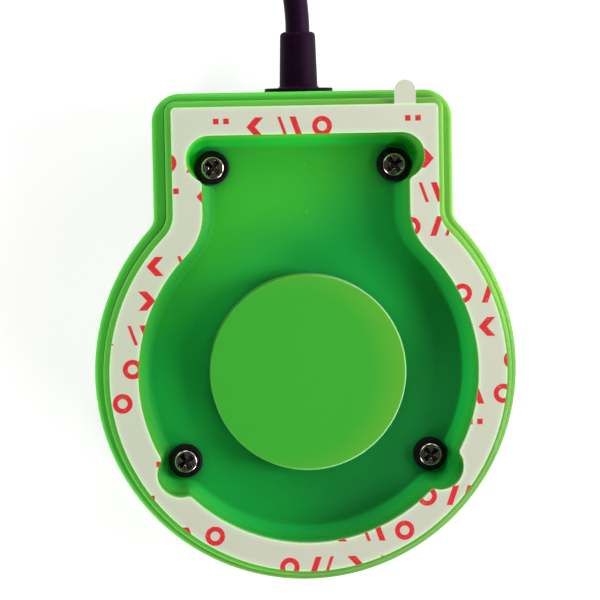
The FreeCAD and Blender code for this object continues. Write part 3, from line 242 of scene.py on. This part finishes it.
def base_plastic():
    """Recess floor with yellower painted light towards the neck, painted shade to the right and in its
    creases, recess walls between two greens from left to right as painted light and shade, lighter near the
    neck's end, with a lighter strip of painted light up them and painted shade towards the bottom, a top edge
    lighter with painted light, brighter on the left and with painted shade at the lower right, and the outer
    wall of the rim in the side walls' shaded green."""
    f = Finish("shell_green", IOR=1.46, Specular_IOR_Level=0.15)
    x, y, z = f.axes()
    drift = f.noise(14, 3) - 0.5

    # Painted shade on the floor to the right, and yellower painted light towards the neck
    right_shade = f.ramp(x - y * 0.5 + drift * 6, 6, 26)
    lit_neck = f.ramp(y - x * 0.6 + drift * 6, 20, 42)
    floor_green = f.mix(right_shade, (0.012, 0.415, 0.062), (0.013, 0.30, 0.056))
    floor_green = crease_shade(f, f.mix(lit_neck, floor_green, (0.048, 0.51, 0.040)), 1.0)

    # Painted light and shade on the recess walls: greens that change from left to right, lighter near the
    # neck's end
    to_right = f.ramp(x - y * 0.6, -25, 15)
    neck_end = f.ramp(y, 37.5, 41.5)
    foot_green = f.mix(to_right, (0.022, 0.40, 0.042), (0.010, 0.60, 0.084))
    foot_green = f.mix(neck_end, foot_green, (0.016, 0.56, 0.050))
    # Lighter strip of painted light up the walls
    strip_green = f.mix(to_right, (0.070, 0.37, 0.034), (0.032, 0.60, 0.070))
    strip_green = f.mix(neck_end, strip_green, (0.105, 0.57, 0.044))
    wall_green = f.mix(f.ramp(z, FLOOR_LEVEL + 0.55, FLOOR_LEVEL + 1.5), foot_green, strip_green)
    # Painted shade: walls darker towards the bottom
    wall_green = f.mix(f.ramp(y, -22, -34) * 0.4, wall_green, SHADE_GREEN)
    body = f.mix(f.ramp(z, FLOOR_LEVEL + 0.02, FLOOR_LEVEL + 0.14), floor_green, wall_green)

    # Top edge lighter with painted light, brighter on the left, with painted shade at the lower right
    edge_green = f.mix(f.ramp(x, -30, 30), (0.140, 0.66, 0.072), (0.190, 0.47, 0.070))
    edge_green = f.mix(f.ramp(x - y, 22, 48), edge_green, (0.125, 0.33, 0.052))
    body = f.mix(f.ramp(z + drift * 0.4, RIM_LEVEL - 2.1, RIM_LEVEL - 0.5), body, edge_green)
    # Outer wall of the rim in the side-wall green with its painted shade
    outer_wall = f.ramp(keyhole_gap(f, x, y, *RIM), -0.7, -0.3) * f.ramp(z, RIM_LEVEL - 0.7, RIM_LEVEL - 1.2)
    return moulded(f, f.mix(outer_wall, body, shaded_side_wall(f)))


def cover_plastic():
    """Ledge in two greens from left to right as painted light, darker at the lower right and in the creases
    by the rim as painted shade, over the side wall's painted shade.
    """
    f = Finish("cover_green", IOR=1.46, Specular_IOR_Level=0.22)
    x, y, z = f.axes()
    # Painted light on the ledge's left, painted shade at its lower right
    ledge_green = f.mix(f.ramp(x - y * 0.5, -30, 10), (0.122, 0.80, 0.074), (0.185, 0.51, 0.055))
    ledge_green = f.mix(f.ramp(x - y, 22, 48), ledge_green, (0.110, 0.33, 0.045))
    ledge_green = crease_shade(f, ledge_green, 0.3)
    return moulded(f, f.mix(f.ramp(z, LEDGE_LEVEL - 1.0, LEDGE_LEVEL - 1.6), ledge_green, shaded_side_wall(f)))


def lens_plastic():
    """Disc darker lower down with painted shade, a yellower painted glow of light towards its right edge, a
    pale painted highlight line on the edge's corner, strongest on the lit side, and painted shade in its
    creases.
    """
    f = Finish("lens_green", IOR=1.46, Specular_IOR_Level=0.22)
    x, y, z = f.axes()
    drift = f.noise(14, 3) - 0.5
    out = reach(x, y)
    # Painted shade lower down on the disc
    upper = f.ramp(z + drift, FLOOR_LEVEL + 3.0, FLOOR_LEVEL + 5.2)
    body = f.mix(upper, (0.030, 0.36, 0.030), (0.046, 0.430, 0.033))
    # Painted glow of light towards the right edge
    painted_glow = f.ramp(out + x * 0.25, 15, 25.5)
    body = f.mix(painted_glow * 0.75, body, (0.135, 0.47, 0.034))
    # Painted highlight line on the edge's corner, strongest on the lit side
    lit_side = f.ramp(x - y * 0.2, -8, 12)
    line = f.ramp(out, LENS_RADIUS - 0.45, LENS_RADIUS - 0.1) * (lit_side * 0.75 + 0.1)
    return moulded(f, f.mix(line, crease_shade(f, body, 0.25), (0.42, 0.82, 0.40)))


def foam():
    """Closed-cell foam in two soft greens."""
    f = Finish("tape_foam", IOR=1.4)
    cells = f.noise(0.25, 2)
    body = f.mix(f.noise(4, 2), (0.44, 0.72, 0.30), (0.55, 0.78, 0.40))
    f.bumps(cells, 0.05)
    return f.wear(Base_Color=body, Roughness=0.75 + cells * 0.15)


def printed_film():
    """Pale film with a painted highlight along its edges, and rows of plain red marks: a ring, two slanted
    bars, an arrowhead and two squares, over and over. Each row is shifted against the one below, and every
    other row is mirrored."""
    f = Finish("liner_film", IOR=1.5)
    x, y = f.axes()[:2]
    row_step, pattern_length, grow = 6.94, 39.0, 1.15
    first_row, odd_shift, row_shift = 1.6, 9.0, 5.2
    row = ((y + first_row) / row_step).maths("FLOOR")
    odd = row.rest_of(2.0)
    up = ((y + first_row).rest_of(row_step) - row_step / 2) / grow
    along = (x * (1 - odd * 2) + odd * odd_shift + row * row_shift).rest_of(pattern_length) / grow

    def inside(gap):
        """1 where a signed distance in millimetres is below zero, with a soft edge of printing ink."""
        return f.ramp(gap, 0.06, -0.06)

    def ring(centre, outer, inner):
        """A ring from its inner to its outer radius."""
        out = reach(along - centre, up)
        return inside(out - outer) * inside(inner - out)

    def slanted_bar(centre, half_width):
        """A bar that leans by 0.35 of its height."""
        return inside(abs(along - centre - up * 0.35) - half_width) * inside(abs(up) - 1.75)

    arrow = inside(abs(along - 15.2 + abs(up) * 0.9) - 0.75) * inside(abs(up) - 1.7)
    squares = inside(abs(up - 1.1) - 0.5) * inside(abs((along - 18.6).rest_of(1.8) - 0.9) - 0.5)
    squares = squares * inside(abs(along - 20.4) - 1.8)
    marks = ring(2.6, 1.75, 0.85).bigger(slanted_bar(7.2, 0.55)).bigger(slanted_bar(9.6, 0.3))
    marks = marks.bigger(arrow).bigger(squares)
    print_end = f.ramp(y, FILM[2] + 0.25, FILM[2] + 0.15)
    worn = f.ramp(f.noise(0.5, 3), 0.30, 0.42)

    paper = f.mix(f.noise(9, 3), (0.64, 0.68, 0.53), (0.72, 0.745, 0.61))
    # Painted light and shade across the flat film: greener towards the left, darker towards the lower right
    paper = f.mix(f.ramp(x, -8, -34) * 0.6, paper, (0.62, 0.70, 0.52))
    paper = f.mix(f.ramp(x * 0.5 - y, -30, 45) * 0.5, paper, (0.57, 0.58, 0.47))
    inset = opening_gap(f, x, y).smaller(-keyhole_gap(f, x, y, *FILM))
    tab_start = f.ramp(y, FILM[2] + 0.25, FILM[2] + 0.05)
    # Painted highlight along the film's edges
    edge_highlight = (f.ramp(inset, 1.4, 0.2) * 0.3 + f.ramp(inset, 0.45, 0.2) * 0.6) * tab_start
    paper = f.mix(edge_highlight, paper, (0.72, 0.93, 0.62))
    paper = f.mix(f.specks(7, 0.17, 0.12) * 0.6, paper, (0.25, 0.27, 0.2))
    body = f.mix(marks * (worn * 0.15 + 0.85) * print_end, paper, (0.74, 0.018, 0.028))
    f.bumps(f.noise(0.6, 2) + f.noise(7, 1) * 1.5, 0.012)
    return f.wear(Base_Color=body, Roughness=0.42 + f.noise(3, 2) * 0.12)


def dark_rubber(name, colour, shine):
    """Near-black soft plastic with fine scuffs."""
    f = Finish(name, IOR=1.48, Specular_IOR_Level=0.11, Specular_Tint=(1.0, 0.5, 1.0, 1))
    scuff = f.noise(1.2, 4)
    body = f.mix(f.ramp(scuff, 0.5, 0.9), colour, tuple(c * 1.8 + 0.002 for c in colour))
    body = f.mix(f.specks(3.5, 0.12, 0.2) * 0.4, body, (0.09, 0.08, 0.09))
    f.bumps(f.noise(0.3, 2) + scuff * 0.5, 0.02)
    return f.wear(Base_Color=body, Roughness=shine + scuff * 0.18)


def metal(name, colour, tarnish, shine, shade_below=None):
    """Plated or polished metal with a stain and a fine grain. Below a level in millimetres it is dark with
    painted shade, as deep in a cross recess.
    """
    f = Finish(name, Metallic=1.0)
    stain = f.noise(1.3, 4)
    fine = f.noise(0.22, 2)
    body = f.mix(f.ramp(stain, 0.4, 0.75), colour, tarnish)
    if shade_below:
        z = f.axes()[2]
        # Painted shade deep in the cross recess
        recess_shade = f.ramp(z + (fine - 0.5) * 0.2, shade_below, shade_below - 0.45)
        body = f.mix(recess_shade, body, (0.035, 0.024, 0.022))
    f.bumps(fine, 0.002)
    return f.wear(Base_Color=body, Roughness=shine + stain * 0.12 + fine * 0.05)


def plain_plastic(name, low, high, shine):
    """Moulded technical plastic with a fine grain."""
    f = Finish(name, IOR=1.5)
    grain = f.noise(0.3, 3)
    f.bumps(grain, 0.015)
    return f.wear(Base_Color=f.mix(f.noise(2.5, 3), low, high), Roughness=shine + grain * 0.15)


def board_mask():
    """Green solder mask over copper tracks on a square grid, with bare pads."""
    f = Finish("board_mask", IOR=1.5)
    x, y = f.axes()[:2]
    weave = f.noise(1.4, 1)
    bend = (weave - 0.5) * 4
    column_step, row_step = 1.9, 2.7
    columns = f.ramp(abs((x + bend).rest_of(column_step) - column_step / 2), 0.62, 0.70)
    rows = f.ramp(abs((y + bend).rest_of(row_step) - row_step / 2), 1.02, 1.10)
    tracks = columns.bigger(rows)
    mask_green = f.mix(tracks, (0.010, 0.085, 0.030), (0.022, 0.16, 0.055))
    pads = f.specks(2.4, 0.35, 0.25)
    body = f.mix(pads, mask_green, (0.75, 0.62, 0.30))
    f.bumps(tracks * 0.5 + pads, 0.03)
    return f.wear(Base_Color=body, Metallic=pads, Roughness=0.32 + weave * 0.1)


def core_colours():
    """Four insulation colours, one to each core by its place across the plug."""
    f = Finish("core_colours", IOR=1.45)
    x = f.axes()[0]
    brown, white = (0.16, 0.07, 0.03), (0.55, 0.53, 0.50)
    blue, black = (0.02, 0.09, 0.40), (0.015, 0.015, 0.015)
    body = f.mix(f.ramp(x, -2.05, -1.95), brown, white)
    body = f.mix(f.ramp(x, -0.05, 0.05), body, blue)
    body = f.mix(f.ramp(x, 1.95, 2.05), body, black)
    return f.wear(Base_Color=body, Roughness=0.4 + f.noise(1, 2) * 0.1)


def woven_strap():
    """Black strap with a plain weave."""
    f = Finish("strap_weave", IOR=1.45, Specular_IOR_Level=0.18)
    x, y, z = f.axes()
    yarn = 0.8
    weave = abs(x.rest_of(yarn) - yarn / 2) + abs((y + z).rest_of(yarn) - yarn / 2)
    f.bumps(weave, 0.12)
    body = f.mix(f.ramp(weave, 0.2, 0.7), (0.012, 0.012, 0.013), (0.035, 0.035, 0.038))
    return f.wear(Base_Color=body, Roughness=0.7 + f.noise(1, 2) * 0.15)


shell_green, cover_green, lens_green = base_plastic(), cover_plastic(), lens_plastic()
rubber = dark_rubber("seal_rubber", (0.006, 0.006, 0.006), 0.42)
jacket = dark_rubber("cable_jacket", (0.0125, 0.0030, 0.0150), 0.42)
moulded_boot = dark_rubber("boot_rubber", (0.0095, 0.0022, 0.0115), 0.48)
black_plastic = plain_plastic("black_plastic", (0.012, 0.012, 0.013), (0.022, 0.022, 0.024), 0.45)
chip_plastic = plain_plastic("chip_plastic", (0.014, 0.014, 0.015), (0.026, 0.026, 0.028), 0.5)
ferrite = plain_plastic("ferrite", (0.045, 0.045, 0.048), (0.07, 0.07, 0.072), 0.55)
nylon = plain_plastic("header_nylon", (0.62, 0.60, 0.50), (0.74, 0.72, 0.64), 0.4)
steel = metal("screw_steel", (0.56, 0.52, 0.46), (0.42, 0.36, 0.31), 0.16)
# Level below which the screw tops carry painted shade in their cross recess
SHADED_SLOT = FLOOR_LEVEL + 2.02
driven_steel = metal("driven_steel", (0.74, 0.66, 0.55), (0.50, 0.40, 0.36), 0.13, shade_below=SHADED_SLOT)
can_metal = metal("can_metal", (0.72, 0.72, 0.72), (0.55, 0.55, 0.54), 0.28)
nickel = metal("nut_nickel", (0.36, 0.345, 0.325), (0.22, 0.205, 0.185), 0.32)
gold = metal("pin_gold", (0.62, 0.41, 0.13), (0.42, 0.26, 0.08), 0.2)
strap = woven_strap()

FINISHES = {
    "base_housing": shell_green, "top_cover": cover_green, "radar_lens": lens_green,
    "adhesive_tape": foam(), "release_liner": printed_film(),
    "housing_gasket": rubber, "lens_seal": rubber, "screw_seals": rubber,
    "lens_clamp_ring": black_plastic, "cable_clamp": black_plastic, "contact_carrier": black_plastic,
    "cover_screws": steel, "lens_clamp_screws": steel, "board_screws": steel, "cable_clamp_screws": steel,
    "circuit_board": board_mask(), "radar_chip": chip_plastic, "processor": chip_plastic,
    "voltage_regulator": chip_plastic, "memory_chip": chip_plastic, "small_parts": chip_plastic,
    "radio_module": can_metal, "power_capacitors": can_metal, "power_inductor": ferrite,
    "wire_header": nylon, "wire_plug": nylon, "core_wires": core_colours(),
    "cable_lead": jacket, "cable_boot": moulded_boot, "connector_body": moulded_boot,
    "connector_nut": nickel, "contact_pins": gold, "coil_ties": strap,
}
for node, material in FINISHES.items():
    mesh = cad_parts[node].data
    mesh.materials.clear()
    mesh.materials.append(material)

# Closed surfaces, and the pieces made of them. Edges that turn by more degrees than this look sharp.
SHARP_ANGLE = 42


def smooth(value, low, high):
    """0 below low, 1 above high and a smooth step between, for arrays."""
    share = np.clip((value - low) / (high - low), 0, 1)
    return share * share * (3 - 2 * share)


def ball(grid):
    """A closed surface from rings of points, as its points and its faces: grid[i, j] is point j of ring i.
    The first ring is one pole, all its points in one place, and the last ring is the other."""
    rings, count = grid.shape[:2]
    points = np.concatenate([grid[:1, 0], grid[1:-1].reshape(-1, 3), grid[-1:, 0]])
    index = 1 + np.arange((rings - 2) * count).reshape(rings - 2, count)
    after = np.roll(index, -1, 1)
    sides = np.stack([index[:-1], index[1:], after[1:], after[:-1]], -1).reshape(-1, 4)
    first_cap = np.stack([np.zeros(count, int), index[0], after[0]], -1)
    last_cap = np.stack([np.full(count, len(points) - 1), after[-1], index[-1]], -1)
    return points, [sides, first_cap, last_cap]


def hoop(grid):
    """A closed surface whose section and path are both loops: grid[i, j] is corner i of the section at
    step j of the path."""
    index = np.arange(grid.shape[0] * grid.shape[1]).reshape(grid.shape[:2])
    after, over = np.roll(index, -1, 1), np.roll(index, -1, 0)
    sides = np.stack([index, after, np.roll(after, -1, 0), over], -1).reshape(-1, 4)
    return grid.reshape(-1, 3), [sides]


def turned_ring(x, y, section):
    """A closed ring turned about an upright line. Its section's corners are pairs of radius and height."""
    theta = np.linspace(0, 2 * np.pi, 96, endpoint=False)
    radius, height = np.array(section)[:, :1], np.array(section)[:, 1:]
    level = np.broadcast_to(height, (len(section), len(theta)))
    return hoop(np.stack([x + radius * np.cos(theta), y + radius * np.sin(theta), level], -1))


def quarter_round(x, y, across, up):
    """Seven points on a quarter of an ellipse about a centre, from its side to its top. Sizes below zero turn
    it half round."""
    return [(x + across * math.cos(a), y + up * math.sin(a)) for a in np.linspace(0, np.pi / 2, 7)]


def joined(name, surfaces, material):
    """One visible piece from closed surfaces in millimetres, riding on the housing, smooth except at its
    sharp edges."""
    points, faces, first = [], [], 0
    for corners, parts in surfaces:
        points.append(corners)
        faces += [face for part in parts for face in (part + first).tolist()]
        first += len(corners)
    whole = bpy.data.meshes.new(name)
    whole.from_pydata((np.concatenate(points) * MM).tolist(), [], faces)
    whole.shade_smooth()
    whole.set_sharp_from_angle(angle=math.radians(SHARP_ANGLE))
    whole.materials.append(material)
    piece = bpy.data.objects.new(name, whole)
    scene.collection.objects.link(piece)
    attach(piece, "housing")
    return piece


# Cover screws: black shoulder ring, bright pan top with a cross recess, threaded shank.
# Places in millimetres and turns in degrees.
SCREW_SPOTS = [(18.7, 42.2, 38), (-18.7, 42.2, 52), (25.45, -18.2, 40), (-25.45, -18.2, 33)]
TOP_RADIUS = 2.36
TOP_HEIGHT = 2.3
TOP_FALL = 0.035
NECK_TOP = 0.9
NECK_RADIUS = 1.7
WING_REACH = 1.74
WING_HALF_WIDTH = 0.34
WING_DEPTH = 1.5
HUB_DEPTH = 0.35
THREAD_PITCH = 0.9
THREAD_ROOT = 1.35
THREAD_DEPTH = 0.38


def screw_top(x, y, turn):
    """Bright part of a screw. Its top is a dome that falls with the square of the radius, less its rounded
    edge and less a cross. At u from the centre, a wing of the cross is 0.34 + 0.05 u wide to either side,
    more at its end, and sinks by 1.5 - 0.4 u. A shallow hub joins the wings. Below follow the neck and a
    thread, whose radius is a saw of the height over the pitch, less the turn."""
    theta = np.linspace(0, 2 * np.pi, 128, endpoint=False)
    dome = np.linspace(0, 2.1, 40)
    radius = np.concatenate([dome, [2.2, 2.28, 2.33, TOP_RADIUS, TOP_RADIUS, TOP_RADIUS]])
    edge_drop = np.concatenate([np.zeros(len(dome)), [0.03, 0.08, 0.15, 0.25, 0.6, 1.2]])
    r, t = np.meshgrid(radius, theta, indexing="ij")
    from_wing = (t + np.pi / 4) % (np.pi / 2) - np.pi / 4
    u, v = r * np.cos(from_wing), np.abs(r * np.sin(from_wing))
    half_width = WING_HALF_WIDTH + 0.05 * u + 0.12 * smooth(u, 1.0, 1.6)
    inside = smooth(half_width - v, -0.04, 0.06) * smooth(WING_REACH - u, -0.04, 0.08)
    hub = smooth(0.85 - r, 0, 0.3)
    sink = inside * (WING_DEPTH - 0.40 * u) + HUB_DEPTH * hub * (1 - inside)
    z = FLOOR_LEVEL + TOP_HEIGHT - TOP_FALL * r ** 2 - edge_drop[:, None] - sink
    top = np.stack([x + r * np.cos(t + turn), y + r * np.sin(t + turn), z], -1)

    depth = np.concatenate([[NECK_TOP, 0.0], np.linspace(-0.1, -12.6, 100), [-13.3, -13.95, -13.95]])
    saw = (depth[:, None] / THREAD_PITCH - theta[None] / (2 * np.pi)) % 1.0
    out = THREAD_ROOT + THREAD_DEPTH * np.abs(2 * saw - 1) ** 1.5
    out[0], out[1] = TOP_RADIUS, NECK_RADIUS
    out[-3], out[-2], out[-1] = 1.2, 0.4, 0.0
    level = np.broadcast_to(FLOOR_LEVEL + depth[:, None], out.shape)
    shank = np.stack([x + out * np.cos(theta + turn), y + out * np.sin(theta + turn), level], -1)
    return ball(np.concatenate([top, shank]))


SHOULDER_FOOT = FLOOR_LEVEL + 0.02
shoulder = [(3.46, SHOULDER_FOOT)] + quarter_round(2.80, FLOOR_LEVEL + 1.30, 0.66, 0.70)
shoulder += [(2.52, FLOOR_LEVEL + 1.92), (2.42, FLOOR_LEVEL + 1.75)]
shoulder += [(2.39, FLOOR_LEVEL + 0.95), (2.39, SHOULDER_FOOT)]
screw_tops = [screw_top(x, y, math.radians(turn)) for x, y, turn in SCREW_SPOTS]
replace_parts(joined("screw_tops", screw_tops, driven_steel), "cover_screws")
screw_shoulders = [turned_ring(x, y, shoulder) for x, y, turn in SCREW_SPOTS]
joined("screw_shoulders", screw_shoulders, rubber)

# Boot on the cable: a turned section with a rounded tip, a hollow at the flange and a soft flange edge.
# Its section is drawn upright, as radius and distance from the sensor's axis, and laid down along the neck.
BOOT_BORE = 2.54
BOOT_START, PLUG_END, GROOVE_START, FLANGE_START, BOOT_TIP = 49.0, 52.0, 53.2, 57.4, 69.9
boot_section = [(BOOT_BORE, BOOT_START), (3.65, BOOT_START), (3.65, PLUG_END), (5.0, PLUG_END)]
boot_section += [(5.0, GROOVE_START), (4.2, GROOVE_START), (4.2, FLANGE_START), (7.1, FLANGE_START)]
boot_section += quarter_round(6.80, FLANGE_START + 0.55, 0.30, 0.30)
boot_section += quarter_round(4.50, FLANGE_START + 1.45, -0.55, -0.55)[::-1]
boot_section += quarter_round(2.72, BOOT_TIP - 0.95, 0.95, 0.95) + [(BOOT_BORE, BOOT_TIP)]
upright_boot, boot_faces = turned_ring(0, 0, boot_section)
lying_boot = upright_boot[:, [0, 2, 1]] * [1, 1, -1] + [0, 0, CABLE_LEVEL]
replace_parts(joined("boot", [(lying_boot, boot_faces)], moulded_boot), "cable_boot")

# Bead of plastic flash in the seam between the base's rim and the cover's ledge


def keyhole(radius, half, end, blend, corner):
    """Outline of a circle with a neck, anticlockwise from the neck's right hollow, with its outward normals:
    arcs of the two hollows, the two corners and the circle, joined by straight sides."""
    lift = math.sqrt((radius + blend) ** 2 - (half + blend) ** 2)
    meet = math.atan2(lift, half + blend)
    parts = []

    def arc(x, y, size, first, last, steps, sign=1):
        """Points at a distance from a centre. The sign is -1 in a hollow: its normals point to the centre."""
        a = np.linspace(first, last, steps)
        way = np.stack([np.cos(a), np.sin(a)], 1)
        parts.append(np.hstack([np.array([x, y]) + size * way, sign * way]))

    arc(half + blend, lift, blend, math.pi + meet, math.pi, 8, -1)
    arc(half - corner, end - corner, corner, 0, math.pi / 2, 14)
    arc(corner - half, end - corner, corner, math.pi / 2, math.pi, 14)
    arc(-half - blend, lift, blend, 0, -meet, 8, -1)
    arc(0, 0, radius, math.pi - meet, 2 * math.pi + meet, 180)
    return np.concatenate(parts)[:-1]


def strip_ring(outline, section):
    """A closed band along an outline: its section's corners are pairs of outward offset and height."""
    place, way = outline[:, :2], outline[:, 2:]
    rows = [np.hstack([place + way * out, np.full((len(place), 1), level)]) for out, level in section]
    return hoop(np.stack(rows))


bead_section = [(0.01, LEDGE_LEVEL - 0.70), (0.09, LEDGE_LEVEL - 0.70), (0.09, LEDGE_LEVEL - 0.14),
                (0.05, LEDGE_LEVEL - 0.08), (0.01, LEDGE_LEVEL - 0.05)]
joined("seam_bead", [strip_ring(keyhole(*RIM, RIM_CORNER), bead_section)], cover_green)

# Cable: one smooth line from the boot through the coil to the connector
CABLE_RADIUS = 2.5
COIL_LEVEL = 3.15
COIL_PITCH = 5.45
COIL_OUTER = 40.2
LAYER_TURNS = 3.75
COIL_STRAIGHT = 5.0
STEPS_PER_TURN = 16
UPPER_LAYER = COIL_LEVEL + COIL_PITCH
RUN_ROUTE = [(0, BOOT_TIP, CABLE_LEVEL), (0, 73.0, CABLE_LEVEL), (-0.62, 79.0, 15.3), (-1.9, 90.0, 12.8),
             (-3.4, 103.2, 6.4), (-4.2, 115.6, COIL_LEVEL), (-4.2, 124.0, COIL_LEVEL)]
TAIL_ROUTE = [(-84.6, 124.0, UPPER_LAYER), (-84.6, 116.0, UPPER_LAYER), (-85.0, 106.0, 6.9),
              (-85.8, 96.0, 5.1), (-86.55, 88.0, 5.1)]


def coil_points():
    """Turns that spiral in by a pitch each and then out again, one layer up: the radius falls to the middle
    of the line and grows after it, and the climb is a smooth step over the half turn at the middle. Control
    points lie outside the turns by one over the mean of their spline's weights."""
    turn = 2 * math.pi
    half = turn * LAYER_TURNS
    angle = np.arange(1, int(2 * LAYER_TURNS * STEPS_PER_TURN)) * turn / STEPS_PER_TURN
    radius = COIL_OUTER - COIL_PITCH * (half - abs(angle - half)) / turn
    radius *= 8 / (6 + 2 * math.cos(turn / STEPS_PER_TURN))
    level = COIL_LEVEL + COIL_PITCH * smooth(angle, half - math.pi / 2, half + math.pi / 2)
    centre = (RUN_ROUTE[-1][0] - COIL_OUTER, RUN_ROUTE[-1][1] + COIL_STRAIGHT)
    return np.stack([centre[0] + radius * np.cos(angle), centre[1] + radius * np.sin(angle), level], 1)


def cord_curve(name, points, radius):
    """A smooth line with the points as its control points and a round section."""
    line = bpy.data.curves.new(name, "CURVE")
    line.dimensions = "3D"
    line.bevel_depth = radius * MM
    line.bevel_resolution = 6
    line.use_fill_caps = True
    spline = line.splines.new("NURBS")
    spline.points.add(len(points) - 1)
    flat = np.c_[np.array(points) * MM, np.ones(len(points))]
    spline.points.foreach_set("co", flat.astype(np.float32).ravel())
    spline.order_u = 3
    spline.use_endpoint_u = True
    spline.resolution_u = 6
    piece = bpy.data.objects.new(name, line)
    scene.collection.objects.link(piece)
    line.materials.append(jacket)
    return piece


cable = cord_curve("cable", np.concatenate([RUN_ROUTE, coil_points(), TAIL_ROUTE]), CABLE_RADIUS)
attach(cable, "housing")
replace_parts(cable, "cable_run", "cable_coil", "cable_tail")

# Floor that glows with painted light, brightening to white far from the sensor
FLOOR_HALF = 3.0
floor_corners = [(-FLOOR_HALF, -FLOOR_HALF, 0), (FLOOR_HALF, -FLOOR_HALF, 0), (FLOOR_HALF, FLOOR_HALF, 0),
                 (-FLOOR_HALF, FLOOR_HALF, 0)]
floor_mesh = bpy.data.meshes.new("floor")
floor_mesh.from_pydata(floor_corners, [], [(0, 1, 2, 3)])
floor = bpy.data.objects.new("floor", floor_mesh)
scene.collection.objects.link(floor)
paper = Finish("floor_paper", Roughness=0.9, Emission_Strength=1.0)
paper_x, paper_y = paper.axes()[:2]
far_out = paper.ramp(reach(paper_x, paper_y), 45, 260)
# Painted light: the floor's glow grows with distance from the sensor
floor_mesh.materials.append(paper.wear(
    Base_Color=paper.mix(paper.noise(60), (0.60, 0.60, 0.60), (0.63, 0.63, 0.63)),
    Emission_Color=paper.mix(far_out, (0.665, 0.655, 0.665), (0.97, 0.97, 0.97))))

# Soft boxes on a dome round the sensor: azimuth from +X and elevation in degrees, and power in watts
SOFT_BOXES = [(0, 35, 3.4), (0, 15, 4.4), (315, 15, 5.2), (45, 35, 1.0), (90, 35, 0.8), (90, 15, 1.5),
              (135, 35, 1.0), (225, 35, 0.8), (225, 15, 3.2), (135, 55, 0.25)]
DOME_CENTRE = Vector((0, 0, 0.025))
DOME_RADIUS = 0.9
BOX_SIDE = 0.35
BOX_TINT = (1.0, 0.99, 0.97)
for azimuth, elevation, power in SOFT_BOXES:
    a, e = math.radians(azimuth), math.radians(elevation)
    way = Vector((math.cos(e) * math.cos(a), math.cos(e) * math.sin(a), math.sin(e)))
    lamp = bpy.data.lights.new("soft_box", "AREA")
    lamp.size = BOX_SIDE
    lamp.energy = power
    lamp.color = BOX_TINT
    box = bpy.data.objects.new("soft_box", lamp)
    scene.collection.objects.link(box)
    box.location = DOME_CENTRE + way * DOME_RADIUS
    box.rotation_euler = (DOME_CENTRE - box.location).to_track_quat("-Z", "Y").to_euler()

# Faint cool light from all round
world = bpy.data.worlds.new("studio")
world.use_nodes = True
sky = world.node_tree.nodes["Background"]
sky.inputs["Color"].default_value = (0.9, 0.95, 1.0, 1)
sky.inputs["Strength"].default_value = 0.04
scene.world = world
scene.view_settings.view_transform = "Standard"

# Camera above the sensor, at the photograph's angle: place in metres and turns in radians
CAMERA_PLACE = (-0.03941, 0.05517, 0.520)
TURN_X, TURN_Y, TURN_Z = -0.0797, -0.0787, -0.0246
camera_data = bpy.data.cameras.new("camera")
camera_data.sensor_width = 36.0
camera_data.lens = 145.05
camera_data.clip_start, camera_data.clip_end = 0.01, 10.0
camera = bpy.data.objects.new("camera", camera_data)
scene.collection.objects.link(camera)
turn = Matrix.Rotation(TURN_Z, 4, "Z") @ Matrix.Rotation(TURN_X, 4, "X") @ Matrix.Rotation(TURN_Y, 4, "Y")
camera.matrix_world = Matrix.Translation(CAMERA_PLACE) @ turn
scene.camera = camera
